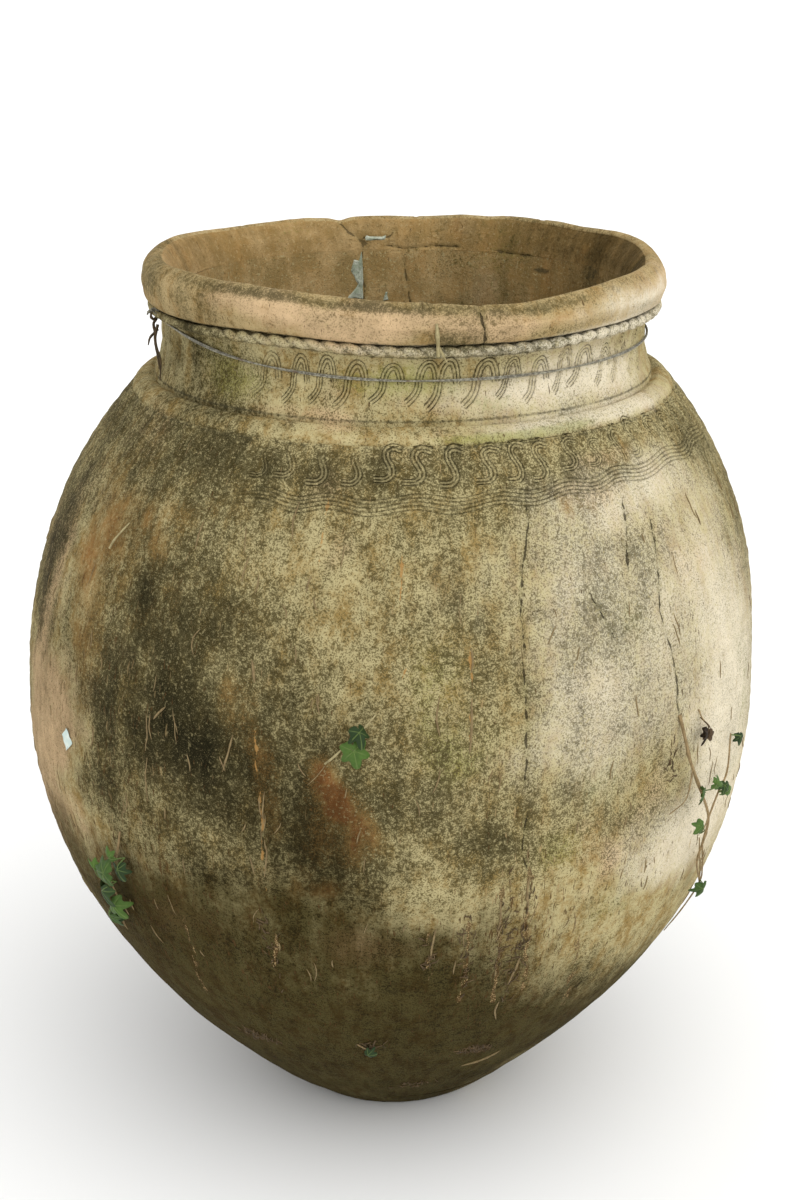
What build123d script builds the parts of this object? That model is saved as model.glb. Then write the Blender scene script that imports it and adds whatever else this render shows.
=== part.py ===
from build123d import *
import os
from math import cos, hypot, radians, sin

os.makedirs("parts", exist_ok=True)

# A very large hand-built terracotta storage jar, in millimetres. It stands on z = 0 with its axis on Z.
# The front is -Y and the right-hand side +X. An azimuth is in degrees round the axis: 0 at the front,
# positive to the right. The potter raised the wall in stages and luted each one on the one below, so
# every stage, coil and band is a piece of its own that meets its neighbours face to face.

# ---- Body: outer curve, wall and the stages it was built in ----
BODY_HEIGHT = 1030
BELLY_RADIUS = 497.5
BELLY_HEIGHT = 620
FOOT_RADIUS = 150
NECK_SEAT_RADIUS = 360
LOWER_FULLNESS = 2.16
UPPER_FULLNESS = 2.55
WALL = 32
FOOT_THICKNESS = 45
BELLY_STAGE_FROM = 503
SHOULDER_STAGE_FROM = 800
CURVE_POINTS = 7

# ---- Neck: its radii follow from the seat on the shoulder ----
NECK_HEIGHT = 108
NECK_SET_BACK = 31
NECK_WAIST_DRAW = 12
NECK_TOP_FLARE = 5
NECK_WALL = 29
NECK_THROAT_RISE = 45
WAIST_LOW = 62
WAIST_HIGH = 80
RIM_JOINT_RISE = 14

# ---- Ridge coil over the joint of neck and shoulder ----
RIDGE_HEIGHT = 18
RIDGE_SET_BACK = 2
RIDGE_TOP_WIDTH = 8
RIDGE_BULGE = 5

# ---- Twisted rope coil under the rim ----
ROPE_HEIGHT = 13
ROPE_DEPTH = 14

# ---- Rolled rim ----
RIM_HEIGHT = 62
RIM_OVERHANG = 19
RIM_CROWN_SET_BACK = 19
RIM_LIP_SET_BACK = 16
RIM_WIDEST_RISE = 25
RIM_LIP_RISE = 47
RIM_UNDERSIDE_WIDTH = 11
RIM_UNDERSIDE_RISE = 2

# ---- Iron tie wire round the neck ----
WIRE_DIAMETER = 3
WIRE_BITE = 0.2
WIRE_RISE = 70
TWIST_AZIMUTH = -70
TWIST_DIAMETER = 6
TWIST_OUT = 20
TWIST_UP = 18

# ---- Mortar in the old cracks inside the mouth ----
CHASE_DEPTH = 10
TALL_FILLER_AZIMUTH = -166
TALL_FILLER_FOOT_RISE = 54
TALL_FILLER_HEIGHT = 66
TALL_FILLER_WIDTH = 22
PATCH_AZIMUTH = -175
PATCH_RISE = 51
PATCH_WIDTH = 9
PATCH_HEIGHT = 15
SLOT_FILLER_AZIMUTH = -172
SLOT_FILLER_RISE = 31
SLOT_FILLER_WIDTH = 30
SLOT_FILLER_HEIGHT = 9

# ---- Paper label ----
LABEL_SIDE = 20
LABEL_THICKNESS = 0.6
LABEL_AZIMUTH = -54.7
LABEL_RISE = 11
LABEL_TURN = 40

# ---- Plants and dry stems caught on the jar ----
THICK_STEM_RADIUS = 1.9
THIN_STEM_RADIUS = 1.3
STALK_RADIUS = 0.8
LEAF_THICKNESS = 1
ROOT_RADIUS = 2.4
ROOT_SINK = 3
CONTACT_BITE = 0.2
TWIG_RADIUS = 1.4
SPLINTER_RADIUS = 1.5
SPLINTER_AZIMUTH = 6.6
SPLINTER_HEIGHT = 42
DRY_STEM_RADIUS = 1.3
DRY_STEM_LENGTH = 58

NECK_TOP = BODY_HEIGHT + NECK_HEIGHT
RIM_TOP = NECK_TOP + RIM_HEIGHT
NECK_ROOT_RADIUS = NECK_SEAT_RADIUS - NECK_SET_BACK
NECK_WAIST_RADIUS = NECK_ROOT_RADIUS - NECK_WAIST_DRAW
NECK_TOP_RADIUS = NECK_WAIST_RADIUS + NECK_TOP_FLARE
NECK_INNER_RADIUS = NECK_WAIST_RADIUS - NECK_WALL
RIM_RADIUS = NECK_TOP_RADIUS + RIM_OVERHANG
RIM_CROWN_RADIUS = RIM_RADIUS - RIM_CROWN_SET_BACK
RIM_LIP_RADIUS = NECK_INNER_RADIUS + RIM_LIP_SET_BACK
ROPE_RADIUS = NECK_TOP_RADIUS + ROPE_DEPTH
AXIS = Axis.Z


# ---- The curve of the wall ----
def outer_radius(height):
    """Outside radius of the body at a height: one full curve under the belly and one over it."""
    if height < BELLY_HEIGHT:
        share = (BELLY_HEIGHT - height) / BELLY_HEIGHT
        return BELLY_RADIUS - (BELLY_RADIUS - FOOT_RADIUS) * share ** LOWER_FULLNESS
    share = (height - BELLY_HEIGHT) / (BODY_HEIGHT - BELLY_HEIGHT)
    return BELLY_RADIUS - (BELLY_RADIUS - NECK_SEAT_RADIUS) * share ** UPPER_FULLNESS


def wall_slope(height):
    """How fast the outside radius grows with height."""
    return (outer_radius(height + 1) - outer_radius(height - 1)) / 2


def inner_radius(height):
    """Inside radius, so that the wall has the same thickness square to its face everywhere."""
    return outer_radius(height) - WALL * hypot(1, wall_slope(height))


def wall_normal(azimuth, height):
    """Direction straight out of the wall."""
    turn = radians(azimuth)
    return Vector(sin(turn), -cos(turn), -wall_slope(height)).normalized()


def wall_right(azimuth):
    """Direction along the wall, level and to the right."""
    return Vector(cos(radians(azimuth)), sin(radians(azimuth)), 0)


def wall_point(azimuth, height, lift):
    """A point that stands off the outside of the wall."""
    turn = radians(azimuth)
    radius = outer_radius(height)
    on_wall = Vector(radius * sin(turn), -radius * cos(turn), height)
    return on_wall + wall_normal(azimuth, height) * lift


def ring_point(azimuth, radius, height):
    """A point at a radius and a height."""
    turn = radians(azimuth)
    return Vector(radius * sin(turn), -radius * cos(turn), height)


def curve(radius_at, low, high):
    """A smooth profile edge that follows a radius function between two heights."""
    step = (high - low) / (CURVE_POINTS - 1)
    heights = [low + step * index for index in range(CURVE_POINTS)]
    return Spline(*[(radius_at(height), 0, height) for height in heights])


def line(start, end):
    """A straight profile edge between two (radius, height) points."""
    return Line((start[0], 0, start[1]), (end[0], 0, end[1]))


def arc(start, middle, end):
    """A round profile edge through three (radius, height) points."""
    return ThreePointArc((start[0], 0, start[1]), (middle[0], 0, middle[1]), (end[0], 0, end[1]))


def turned(*edges):
    """The solid that a closed profile sweeps round the jar's axis."""
    return revolve(make_face(list(edges)), axis=AXIS)


# ---- Clay stages ----
def foot_slab():
    """The flat round slab that the jar was started on."""
    edge = outer_radius(FOOT_THICKNESS)
    return turned(
        line((0, 0), (FOOT_RADIUS, 0)),
        curve(outer_radius, 0, FOOT_THICKNESS),
        line((edge, FOOT_THICKNESS), (0, FOOT_THICKNESS)),
        line((0, FOOT_THICKNESS), (0, 0)),
    )


def wall_stage(low, high):
    """One ring of the body, from one luted joint to the next."""
    return turned(
        curve(outer_radius, low, high),
        line((outer_radius(high), high), (inner_radius(high), high)),
        curve(inner_radius, low, high),
        line((inner_radius(low), low), (outer_radius(low), low)),
    )


def plain_neck():
    """The collar, a little waisted outside and rounded inside where it meets the shoulder."""
    root_inside = inner_radius(BODY_HEIGHT)
    ridge_top = BODY_HEIGHT + RIDGE_HEIGHT
    waist_low = BODY_HEIGHT + WAIST_LOW
    waist_high = BODY_HEIGHT + WAIST_HIGH
    rope_foot = NECK_TOP - ROPE_HEIGHT
    throat = BODY_HEIGHT + NECK_THROAT_RISE
    hollow = (NECK_ROOT_RADIUS + NECK_WAIST_RADIUS) / 2 - 2
    flare = (NECK_WAIST_RADIUS + NECK_TOP_RADIUS) / 2 - 1
    return turned(
        line((root_inside, BODY_HEIGHT), (NECK_ROOT_RADIUS, BODY_HEIGHT)),
        line((NECK_ROOT_RADIUS, BODY_HEIGHT), (NECK_ROOT_RADIUS, ridge_top)),
        arc((NECK_ROOT_RADIUS, ridge_top), (hollow, (ridge_top + waist_low) / 2),
            (NECK_WAIST_RADIUS, waist_low)),
        line((NECK_WAIST_RADIUS, waist_low), (NECK_WAIST_RADIUS, waist_high)),
        arc((NECK_WAIST_RADIUS, waist_high), (flare, (waist_high + rope_foot) / 2),
            (NECK_TOP_RADIUS, rope_foot)),
        line((NECK_TOP_RADIUS, rope_foot), (NECK_TOP_RADIUS, NECK_TOP)),
        line((NECK_TOP_RADIUS, NECK_TOP), (NECK_INNER_RADIUS, NECK_TOP + RIM_JOINT_RISE)),
        line((NECK_INNER_RADIUS, NECK_TOP + RIM_JOINT_RISE), (NECK_INNER_RADIUS, throat)),
        arc((NECK_INNER_RADIUS, throat),
            (NECK_INNER_RADIUS + 0.22 * (root_inside - NECK_INNER_RADIUS), BODY_HEIGHT + 0.38 * NECK_THROAT_RISE),
            (root_inside, BODY_HEIGHT)),
    )


def plain_rim():
    """The thick rolled lip; its joint with the neck slopes up towards the inside."""
    underside = (NECK_TOP_RADIUS + RIM_UNDERSIDE_WIDTH, 0, NECK_TOP + RIM_UNDERSIDE_RISE)
    widest = (RIM_RADIUS, 0, NECK_TOP + RIM_WIDEST_RISE)
    crown = (RIM_CROWN_RADIUS, 0, RIM_TOP)
    lip = (RIM_LIP_RADIUS, 0, NECK_TOP + RIM_LIP_RISE)
    joint_inside = (NECK_INNER_RADIUS, 0, NECK_TOP + RIM_JOINT_RISE)
    roll = Spline(
        underside, widest, crown, lip, joint_inside,
        tangents=((1, 0, 0.9), (0, 0, 1), (-1, 0, 0), (-0.6, 0, -1), (-0.1, 0, -1)),
    )
    return turned(
        line((NECK_TOP_RADIUS, NECK_TOP), (underside[0], underside[2])),
        roll,
        line((joint_inside[0], joint_inside[2]), (NECK_TOP_RADIUS, NECK_TOP)),
    )


def neck_ridge():
    """The coil pressed into the corner between neck and shoulder."""
    reach = NECK_SEAT_RADIUS - RIDGE_SET_BACK
    top = BODY_HEIGHT + RIDGE_HEIGHT
    top_edge = NECK_ROOT_RADIUS + RIDGE_TOP_WIDTH
    bulge = ((reach + top_edge) / 2 + RIDGE_BULGE, BODY_HEIGHT + 0.62 * RIDGE_HEIGHT)
    return turned(
        line((NECK_ROOT_RADIUS, BODY_HEIGHT), (reach, BODY_HEIGHT)),
        arc((reach, BODY_HEIGHT), bulge, (top_edge, top)),
        line((top_edge, top), (NECK_ROOT_RADIUS, top)),
        line((NECK_ROOT_RADIUS, top), (NECK_ROOT_RADIUS, BODY_HEIGHT)),
    )


def rope_moulding():
    """The rope coil, flat where it is pressed on the neck and round outside."""
    foot = NECK_TOP - ROPE_HEIGHT
    flank = ROPE_RADIUS - ROPE_HEIGHT / 2
    return turned(
        line((NECK_TOP_RADIUS, foot), (flank, foot)),
        arc((flank, foot), (ROPE_RADIUS, foot + ROPE_HEIGHT / 2), (flank, NECK_TOP)),
        line((flank, NECK_TOP), (NECK_TOP_RADIUS, NECK_TOP)),
        line((NECK_TOP_RADIUS, NECK_TOP), (NECK_TOP_RADIUS, foot)),
    )


# ---- Tie wire ----
def rod(start, end, radius):
    """A straight round rod between two points."""
    run = end - start
    return Solid.make_cylinder(radius, run.length, Plane(start, z_dir=run))


def tie_wire():
    """The wire round the neck's waist, with its ends twisted together at the left."""
    radius = WIRE_DIAMETER / 2
    centre = NECK_WAIST_RADIUS + radius - WIRE_BITE
    half_seat = (radius ** 2 - (radius - WIRE_BITE) ** 2) ** 0.5
    level = BODY_HEIGHT + WIRE_RISE
    ring = turned(
        arc((NECK_WAIST_RADIUS, level - half_seat), (centre + radius, level),
            (NECK_WAIST_RADIUS, level + half_seat)),
        line((NECK_WAIST_RADIUS, level + half_seat), (NECK_WAIST_RADIUS, level - half_seat)),
    )
    start = ring_point(TWIST_AZIMUTH, centre + radius, level)
    end = ring_point(TWIST_AZIMUTH, centre + radius + TWIST_OUT, level + TWIST_UP)
    return ring + rod(start, end, TWIST_DIAMETER / 2)


def twist_end():
    """The free end of the twisted wire."""
    radius = NECK_WAIST_RADIUS + WIRE_DIAMETER - WIRE_BITE + TWIST_OUT
    return ring_point(TWIST_AZIMUTH, radius, BODY_HEIGHT + WIRE_RISE + TWIST_UP)


def neck_dry_stem():
    """A dead stem that hangs from the twisted wire, in front of the neck."""
    start = twist_end() - Vector(0, 0, TWIST_DIAMETER / 2 - CONTACT_BITE)
    slant = wall_right(TWIST_AZIMUTH) * (0.15 * DRY_STEM_LENGTH)
    return rod(start, start + slant - Vector(0, 0, DRY_STEM_LENGTH), DRY_STEM_RADIUS) - tie_wire()


# ---- Mortar fillers ----
def chase(azimuth, height, outline):
    """A prism cut into the inside of the mouth; the outline runs (right, up) from its middle."""
    middle = ring_point(azimuth, NECK_INNER_RADIUS - CHASE_DEPTH, height)
    outward = ring_point(azimuth, 1, 0)
    plane = Plane(middle, x_dir=-wall_right(azimuth), z_dir=outward)
    flip = -1 if plane.y_dir.Z < 0 else 1
    face = plane * make_face(Polyline(*[(x, flip * y) for x, y in outline], close=True))
    return extrude(face, amount=2 * CHASE_DEPTH, dir=outward)


def tall_chase():
    """The jagged upright crack, widest at its foot."""
    half = TALL_FILLER_WIDTH / 2
    top = TALL_FILLER_HEIGHT / 2
    outline = [(half, -top), (half, 0.5 * top), (0.8 * half, top), (-0.3 * half, 0.55 * top),
               (-0.7 * half, 0.1 * top), (0.2 * half, -0.35 * top), (-half, -0.8 * top), (-half, -top)]
    height = NECK_TOP - TALL_FILLER_FOOT_RISE + TALL_FILLER_HEIGHT / 2
    return chase(TALL_FILLER_AZIMUTH, height, outline)


def box_outline(width, height):
    """A rectangle about its middle."""
    return [(-width / 2, -height / 2), (width / 2, -height / 2), (width / 2, height / 2), (-width / 2, height / 2)]


def patch_chase():
    """The small patch near the foot of the neck."""
    return chase(PATCH_AZIMUTH, NECK_TOP - PATCH_RISE, box_outline(PATCH_WIDTH, PATCH_HEIGHT))


def slot_chase():
    """The level slot in the back of the rim."""
    outline = box_outline(SLOT_FILLER_WIDTH, SLOT_FILLER_HEIGHT)
    return chase(SLOT_FILLER_AZIMUTH, NECK_TOP + SLOT_FILLER_RISE, outline)


# ---- Paper label ----
def paper_label():
    """A small square of paper that follows the belly, pasted on a corner."""
    def skin_radius(height):
        return outer_radius(height) + LABEL_THICKNESS

    low, high = BELLY_STAGE_FROM, SHOULDER_STAGE_FROM
    skin = turned(
        curve(skin_radius, low, high),
        line((skin_radius(high), high), (outer_radius(high), high)),
        curve(outer_radius, low, high),
        line((outer_radius(low), low), (skin_radius(low), low)),
    )
    height = BELLY_HEIGHT + LABEL_RISE
    plane = Plane(wall_point(LABEL_AZIMUTH, height, -LABEL_SIDE), x_dir=wall_right(LABEL_AZIMUTH),
                  z_dir=wall_normal(LABEL_AZIMUTH, height))
    cutter = plane * Rot(0, 0, LABEL_TURN) * extrude(Rectangle(LABEL_SIDE, LABEL_SIDE), 2 * LABEL_SIDE)
    return skin & cutter


# ---- Plants ----
def stem(route, radius):
    """A stem through (azimuth, height, lift) places, as round runs joined by balls."""
    points = [wall_point(*place) for place in route]
    shape = rod(points[0], points[1], radius)
    for start, end in zip(points[1:], points[2:]):
        shape = shape + Pos(start) * Sphere(radius) + rod(start, end, radius)
    return shape


def holdfast(azimuth, height, lift):
    """A short rootlet that ties a stem to the wall."""
    return rod(wall_point(azimuth, height, -ROOT_SINK), wall_point(azimuth, height, lift), ROOT_RADIUS)


def leaf(stalk_from, base, length, turn, tip_lift):
    """One ivy leaf: a lobed blade that points turn degrees from straight down, on a short stalk."""
    azimuth, height, lift = base
    foot = wall_point(azimuth, height, lift)
    down = wall_right(azimuth).cross(wall_normal(azimuth, height))
    along = down * cos(radians(turn)) + wall_right(azimuth) * sin(radians(turn))
    tip = foot + along * length + wall_normal(azimuth, height) * tip_lift
    blade_y = (tip - foot).normalized()
    blade_x = blade_y.cross(wall_normal(azimuth, height)).normalized()
    half = [(0.22, -0.14), (0.48, 0.06), (0.33, 0.3), (0.42, 0.56), (0.16, 0.62)]
    outline = [(0, 0), *half, (0, 1), *[(-x, y) for x, y in reversed(half)]]
    face = make_face(Polyline(*[(length * x, length * y) for x, y in outline], close=True))
    blade = Plane(foot, x_dir=blade_x, z_dir=blade_x.cross(blade_y)) * extrude(face, LEAF_THICKNESS)
    return blade + rod(wall_point(*stalk_from), foot + blade_y * 2, STALK_RADIUS)


def from_belly(route):
    """Turns rises above the widest place into heights."""
    return [(azimuth, BELLY_HEIGHT + rise, lift) for azimuth, rise, lift in route]


def sprig(routes, roots):
    """Stems of one shoot with the rootlets that hold it."""
    shape = stem(from_belly(routes[0][0]), routes[0][1])
    for route, radius in routes[1:]:
        shape = shape + stem(from_belly(route), radius)
    for root in from_belly(roots):
        shape = shape + holdfast(*root)
    return shape


def leaves(specs, stem_shape):
    """The leaves of one shoot, each trimmed to sit on the stem."""
    blades = []
    for stalk_from, base, length, turn, tip_lift in specs:
        places = from_belly([stalk_from, base])
        blades.append(leaf(places[0], places[1], length, turn, tip_lift) - stem_shape)
    return blades


LEFT_MAIN = [(-42.3, -80, 5), (-42.8, -108, 12), (-45.5, -150, 14), (-48.5, -195, 12), (-51.0, -230, 6)]
CENTRE_MAIN = [(-8.5, 70, 5), (-5.5, 98, 12), (-2.1, 129, 6)]
RIGHT_MAIN = [(45.2, 69, 5), (46.6, 7, 14), (48.4, -34, 22), (50.7, -76, 26), (51.3, -115, 22),
              (52.3, -151, 18), (58.0, -200, 14), (62.0, -232, 14)]
RIGHT_UPPER = [(60.4, 0, 10), (57.3, -37, 16), (54.0, -52, 20), (50.7, -76, 26)]
RIGHT_LOWER = [(51.3, -115, 22), (55.3, -169, 18), (58.9, -210, 14), (60.2, -262, 8), (62.5, -312, 5)]
BASE_MAIN = [(-6.6, -376, 5), (-4.4, -380, 7)]

LEFT_LEAVES = [
    ((-42.8, -108, 12), (-43.1, -116, 22), 24, 20, 4),
    ((-42.8, -108, 12), (-45.2, -102, 22), 17, -150, 3),
    ((-45.5, -150, 14), (-45.6, -128, 27), 30, -70, 2),
    ((-45.5, -150, 14), (-46.9, -163, 26), 34, -35, 2),
    ((-45.5, -150, 14), (-50.0, -150, 28), 14, -80, 4),
    ((-48.5, -195, 12), (-46.7, -186, 24), 26, 40, 3),
    ((-48.5, -195, 12), (-49.6, -213, 22), 24, -50, 3),
]
CENTRE_LEAVES = [
    ((-5.5, 98, 12), (-3.7, 112, 20), 24, 35, 6),
    ((-5.5, 98, 12), (-5.3, 88, 19), 32, 15, 4),
]
RIGHT_LEAVES = [
    ((60.4, 0, 10), (62.2, -8, 16), 13, 25, 3),
    ((48.4, -34, 22), (50.6, -34, 30), 15, 80, 6),
    ((48.4, -34, 22), (48.0, -30, 33), 19, 0, 3),
    ((54.0, -52, 20), (54.4, -44, 30), 15, 30, 5),
    ((50.7, -76, 26), (48.6, -86, 32), 16, -40, 4),
    ((58.0, -200, 14), (57.8, -204, 24), 22, 5, 5),
]
DEAD_LEAVES = [
    ((50.3, 54, 8), (50.4, 36, 12), 15, -5, 6),
    ((50.3, 54, 8), (51.6, 38, 12), 12, 40, 4),
]
BASE_LEAF = [((-4.4, -380, 7), (-4.6, -382, 13), 16, 60, 2)]


def shoulder_twig(wall):
    """A straw caught slantwise on the left shoulder; it hangs down from the height of the neck's seat."""
    ends = [(-50.3, BODY_HEIGHT - 148, TWIG_RADIUS + 2), (-47.6, BODY_HEIGHT - 112, TWIG_RADIUS + 2)]
    foot = (-49.0, BODY_HEIGHT - 130, TWIG_RADIUS + 1)
    return stem(ends, TWIG_RADIUS) + holdfast(*foot) - wall


def rim_splinter():
    """A splinter that leans on the rope coil and the rim."""
    lean = SPLINTER_RADIUS - CONTACT_BITE
    low = ring_point(SPLINTER_AZIMUTH, ROPE_RADIUS + lean, NECK_TOP - ROPE_HEIGHT)
    high = ring_point(SPLINTER_AZIMUTH, RIM_RADIUS + lean, NECK_TOP - ROPE_HEIGHT + SPLINTER_HEIGHT)
    return rod(low, high, SPLINTER_RADIUS)


# ---- The pieces ----
def build():
    """Every piece by the name of its node."""
    lower_wall = wall_stage(FOOT_THICKNESS, BELLY_STAGE_FROM)
    belly_wall = wall_stage(BELLY_STAGE_FROM, SHOULDER_STAGE_FROM)
    shoulder_wall = wall_stage(SHOULDER_STAGE_FROM, BODY_HEIGHT)
    neck = plain_neck()
    rim = plain_rim()
    rope = rope_moulding()
    tall, patch, slot = tall_chase(), patch_chase(), slot_chase()

    left_stem = sprig([(LEFT_MAIN, THIN_STEM_RADIUS)], [LEFT_MAIN[0], LEFT_MAIN[-1]])
    left_stem = left_stem - belly_wall - lower_wall
    centre_stem = sprig([(CENTRE_MAIN, THIN_STEM_RADIUS)], [CENTRE_MAIN[0], CENTRE_MAIN[-1]]) - belly_wall
    right_routes = [(RIGHT_MAIN, THICK_STEM_RADIUS), (RIGHT_UPPER, THIN_STEM_RADIUS),
                    (RIGHT_LOWER, THIN_STEM_RADIUS)]
    right_roots = [RIGHT_MAIN[0], RIGHT_UPPER[0], RIGHT_LOWER[-1]]
    right_stem = sprig(right_routes, right_roots) - belly_wall - lower_wall
    dead_root = from_belly([DEAD_LEAVES[0][0]])[0]
    dead_stem = holdfast(*dead_root)
    base_stem = sprig([(BASE_MAIN, THIN_STEM_RADIUS)], [BASE_MAIN[0]]) - lower_wall

    return {
        "foot_slab": foot_slab(),
        "lower_wall": lower_wall,
        "belly_wall": belly_wall,
        "shoulder_wall": shoulder_wall,
        "neck": neck - tall - patch,
        "neck_ridge": neck_ridge(),
        "rope_moulding": rope,
        "rim": rim - slot,
        "tie_wire": tie_wire(),
        "crack_filler_tall": neck & tall,
        "crack_filler_patch": neck & patch,
        "crack_filler_slot": rim & slot,
        "paper_label": paper_label(),
        "ivy_stem_left": left_stem,
        "ivy_leaves_left": leaves(LEFT_LEAVES, left_stem),
        "ivy_stem_centre": centre_stem,
        "ivy_leaves_centre": leaves(CENTRE_LEAVES, centre_stem),
        "ivy_stem_right": right_stem,
        "ivy_leaves_right": leaves(RIGHT_LEAVES, right_stem),
        "dead_leaf_stub": dead_stem - belly_wall,
        "dead_leaves_right": leaves(DEAD_LEAVES, dead_stem),
        "ivy_stem_base": base_stem,
        "ivy_leaf_base": leaves(BASE_LEAF, base_stem),
        "shoulder_twig": shoulder_twig(shoulder_wall),
        "rim_splinter": rim_splinter() - rim - rope,
        "neck_dry_stem": neck_dry_stem(),
    }


for name, piece in build().items():
    solids = piece if isinstance(piece, list) else [piece]
    export_step(Compound(children=[solid for shape in solids for solid in shape.solids()]), f"parts/{name}.step")
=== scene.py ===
import math
from types import SimpleNamespace
import bpy
import numpy as np
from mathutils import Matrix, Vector


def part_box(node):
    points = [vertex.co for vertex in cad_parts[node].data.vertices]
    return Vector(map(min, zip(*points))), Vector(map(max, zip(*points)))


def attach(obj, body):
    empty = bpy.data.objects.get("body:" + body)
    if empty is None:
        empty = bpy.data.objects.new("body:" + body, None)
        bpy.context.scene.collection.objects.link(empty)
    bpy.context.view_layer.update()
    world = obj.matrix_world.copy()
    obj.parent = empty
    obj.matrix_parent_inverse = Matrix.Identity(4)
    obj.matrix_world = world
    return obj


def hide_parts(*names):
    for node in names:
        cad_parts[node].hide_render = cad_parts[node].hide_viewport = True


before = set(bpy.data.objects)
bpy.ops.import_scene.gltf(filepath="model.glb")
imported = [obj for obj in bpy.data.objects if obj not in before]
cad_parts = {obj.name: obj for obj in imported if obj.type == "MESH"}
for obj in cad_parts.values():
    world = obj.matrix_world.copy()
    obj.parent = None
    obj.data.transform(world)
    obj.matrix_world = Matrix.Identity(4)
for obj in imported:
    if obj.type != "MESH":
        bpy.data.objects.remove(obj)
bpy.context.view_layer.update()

# The jar stands on z = 0 with its axis on Z, in metres. The front is -Y. An azimuth is in degrees round
# the axis: 0 at the front, positive to the right. Lengths along the clay are in metres.


# ---------------------------------------------------------------- camera
VIEW_DISTANCE = 2.49
VIEW_HEIGHT = 1.596
VIEW_PITCH = 19.48
VIEW_ASIDE = 0.0066
LENS = 57

camera = bpy.data.objects.new("camera", bpy.data.cameras.new("camera"))
bpy.context.scene.collection.objects.link(camera)
camera.location = (VIEW_ASIDE, -VIEW_DISTANCE, VIEW_HEIGHT)
camera.rotation_euler = (math.radians(90 - VIEW_PITCH), 0, 0)
camera.data.lens = LENS
camera.data.sensor_width = 36
bpy.context.scene.camera = camera


# ---------------------------------------------------------------- sizes
BELLY_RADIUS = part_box("belly_wall")[1].x
BELLY_HEIGHT = 0.620
FOOT_RADIUS = 0.150
LOWER_FULLNESS = 2.16
UPPER_FULLNESS = 2.55
WALL = 0.032
NECK_SEAT_RADIUS = 0.360
FOOT_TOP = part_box("foot_slab")[1].z
BELLY_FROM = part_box("belly_wall")[0].z
SHOULDER_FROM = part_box("shoulder_wall")[0].z
BODY_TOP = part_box("shoulder_wall")[1].z
RIDGE_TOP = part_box("neck_ridge")[1].z
ROPE_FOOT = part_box("rope_moulding")[0].z
ROPE_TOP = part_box("rope_moulding")[1].z
ROPE_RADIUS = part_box("rope_moulding")[1].x
RIM_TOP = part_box("rim")[1].z
RIM_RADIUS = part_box("rim")[1].x
NECK_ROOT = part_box("neck")[1].x
NECK_WAIST = 0.317
NECK_FLARE = 0.322
NECK_INNER = 0.288
THROAT_TOP = NECK_INNER + 0.0035
RIM_LIP = 0.304
WIRE_HEIGHT = 1.0975
WIRE_TWIST_AZIMUTH = -70
KNOT_AZIMUTH = -72
THROAT_HEIGHTS = (1.095, 1.125)
THROAT_JOINT = ROPE_TOP + 0.014


# ---------------------------------------------------------------- noise
class Lattice:
    """Smooth random values in space, from -1 to 1."""
    SIDE = 48

    def __init__(self, seed):
        self.grid = np.random.default_rng(seed).random((self.SIDE,) * 3) * 2 - 1

    def __call__(self, points, cell):
        scaled = points / cell + 1000.5
        low = np.floor(scaled).astype(int)
        part = scaled - low
        part = part * part * (3 - 2 * part)
        total = 0
        for corner in range(8):
            step = np.array([corner & 1, corner >> 1 & 1, corner >> 2 & 1])
            place = (low + step) % self.SIDE
            weight = np.prod(np.where(step, part, 1 - part), axis=-1)
            total = total + weight * self.grid[place[..., 0], place[..., 1], place[..., 2]]
        return total


LUMPS = Lattice(11)
PATCHES = Lattice(12)
EDGES = Lattice(13)


def fractal(lattice, points, cell, octaves, fade=0.5):
    """Several sizes of one noise added up."""
    total = 0
    for octave in range(octaves):
        total = total + lattice(points + 7.3 * octave, cell / 2 ** octave) * fade ** octave
    return total


def catmull(knots, per_span):
    """A smooth open curve through the knots."""
    padded = np.vstack([2 * knots[0] - knots[1], knots, 2 * knots[-1] - knots[-2]])
    share = np.linspace(0, 1, per_span, endpoint=False)[:, None]
    parts = []
    for i in range(1, len(padded) - 2):
        a, b, c, d = padded[i - 1:i + 3]
        parts.append(0.5 * (2 * b + (c - a) * share + (2 * a - 5 * b + 4 * c - d) * share ** 2
                            + (3 * b - a - 3 * c + d) * share ** 3))
    return np.vstack(parts + [padded[-2:-1]])


def smooth(low, high, value):
    """0 below low, 1 above high and an even rise between."""
    share = np.clip((value - low) / (high - low), 0, 1)
    return share * share * (3 - 2 * share)


# ---------------------------------------------------------------- shape of the wall
# The collar wasn't thrown level. Azimuth, lift of the rope and of the rim's foot, lift of the rim's crest.
UNEVEN = [(-180, 0.002, 0.000), (-110, 0.004, 0.001), (-60, 0.007, 0.003), (-34, 0.010, 0.004),
          (-22, 0.010, 0.003),
          (-10, 0.006, -0.006), (0, 0.003, -0.012), (12, 0.003, -0.016), (22, 0.003, -0.016),
          (35, 0.004, -0.012),
          (47, 0.006, -0.007), (70, 0.006, 0.000), (120, 0.003, 0.001), (180, 0.002, 0.000)]


def uneven(azimuth, z):
    """How much the hand-built collar and rim rise above level."""
    places, foot_lift, crest_lift = zip(*UNEVEN)
    low = smooth(1.088, 1.118, z)
    high = smooth(1.152, 1.190, z)
    lift = np.interp(azimuth, places, foot_lift) * low * (1 - high)
    return lift + np.interp(azimuth, places, crest_lift) * high


def aside_from(azimuth, middle=0):
    """How far round the jar an azimuth is from a middle, from -180 to 180."""
    return (azimuth - middle + 180) % 360 - 180


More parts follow.
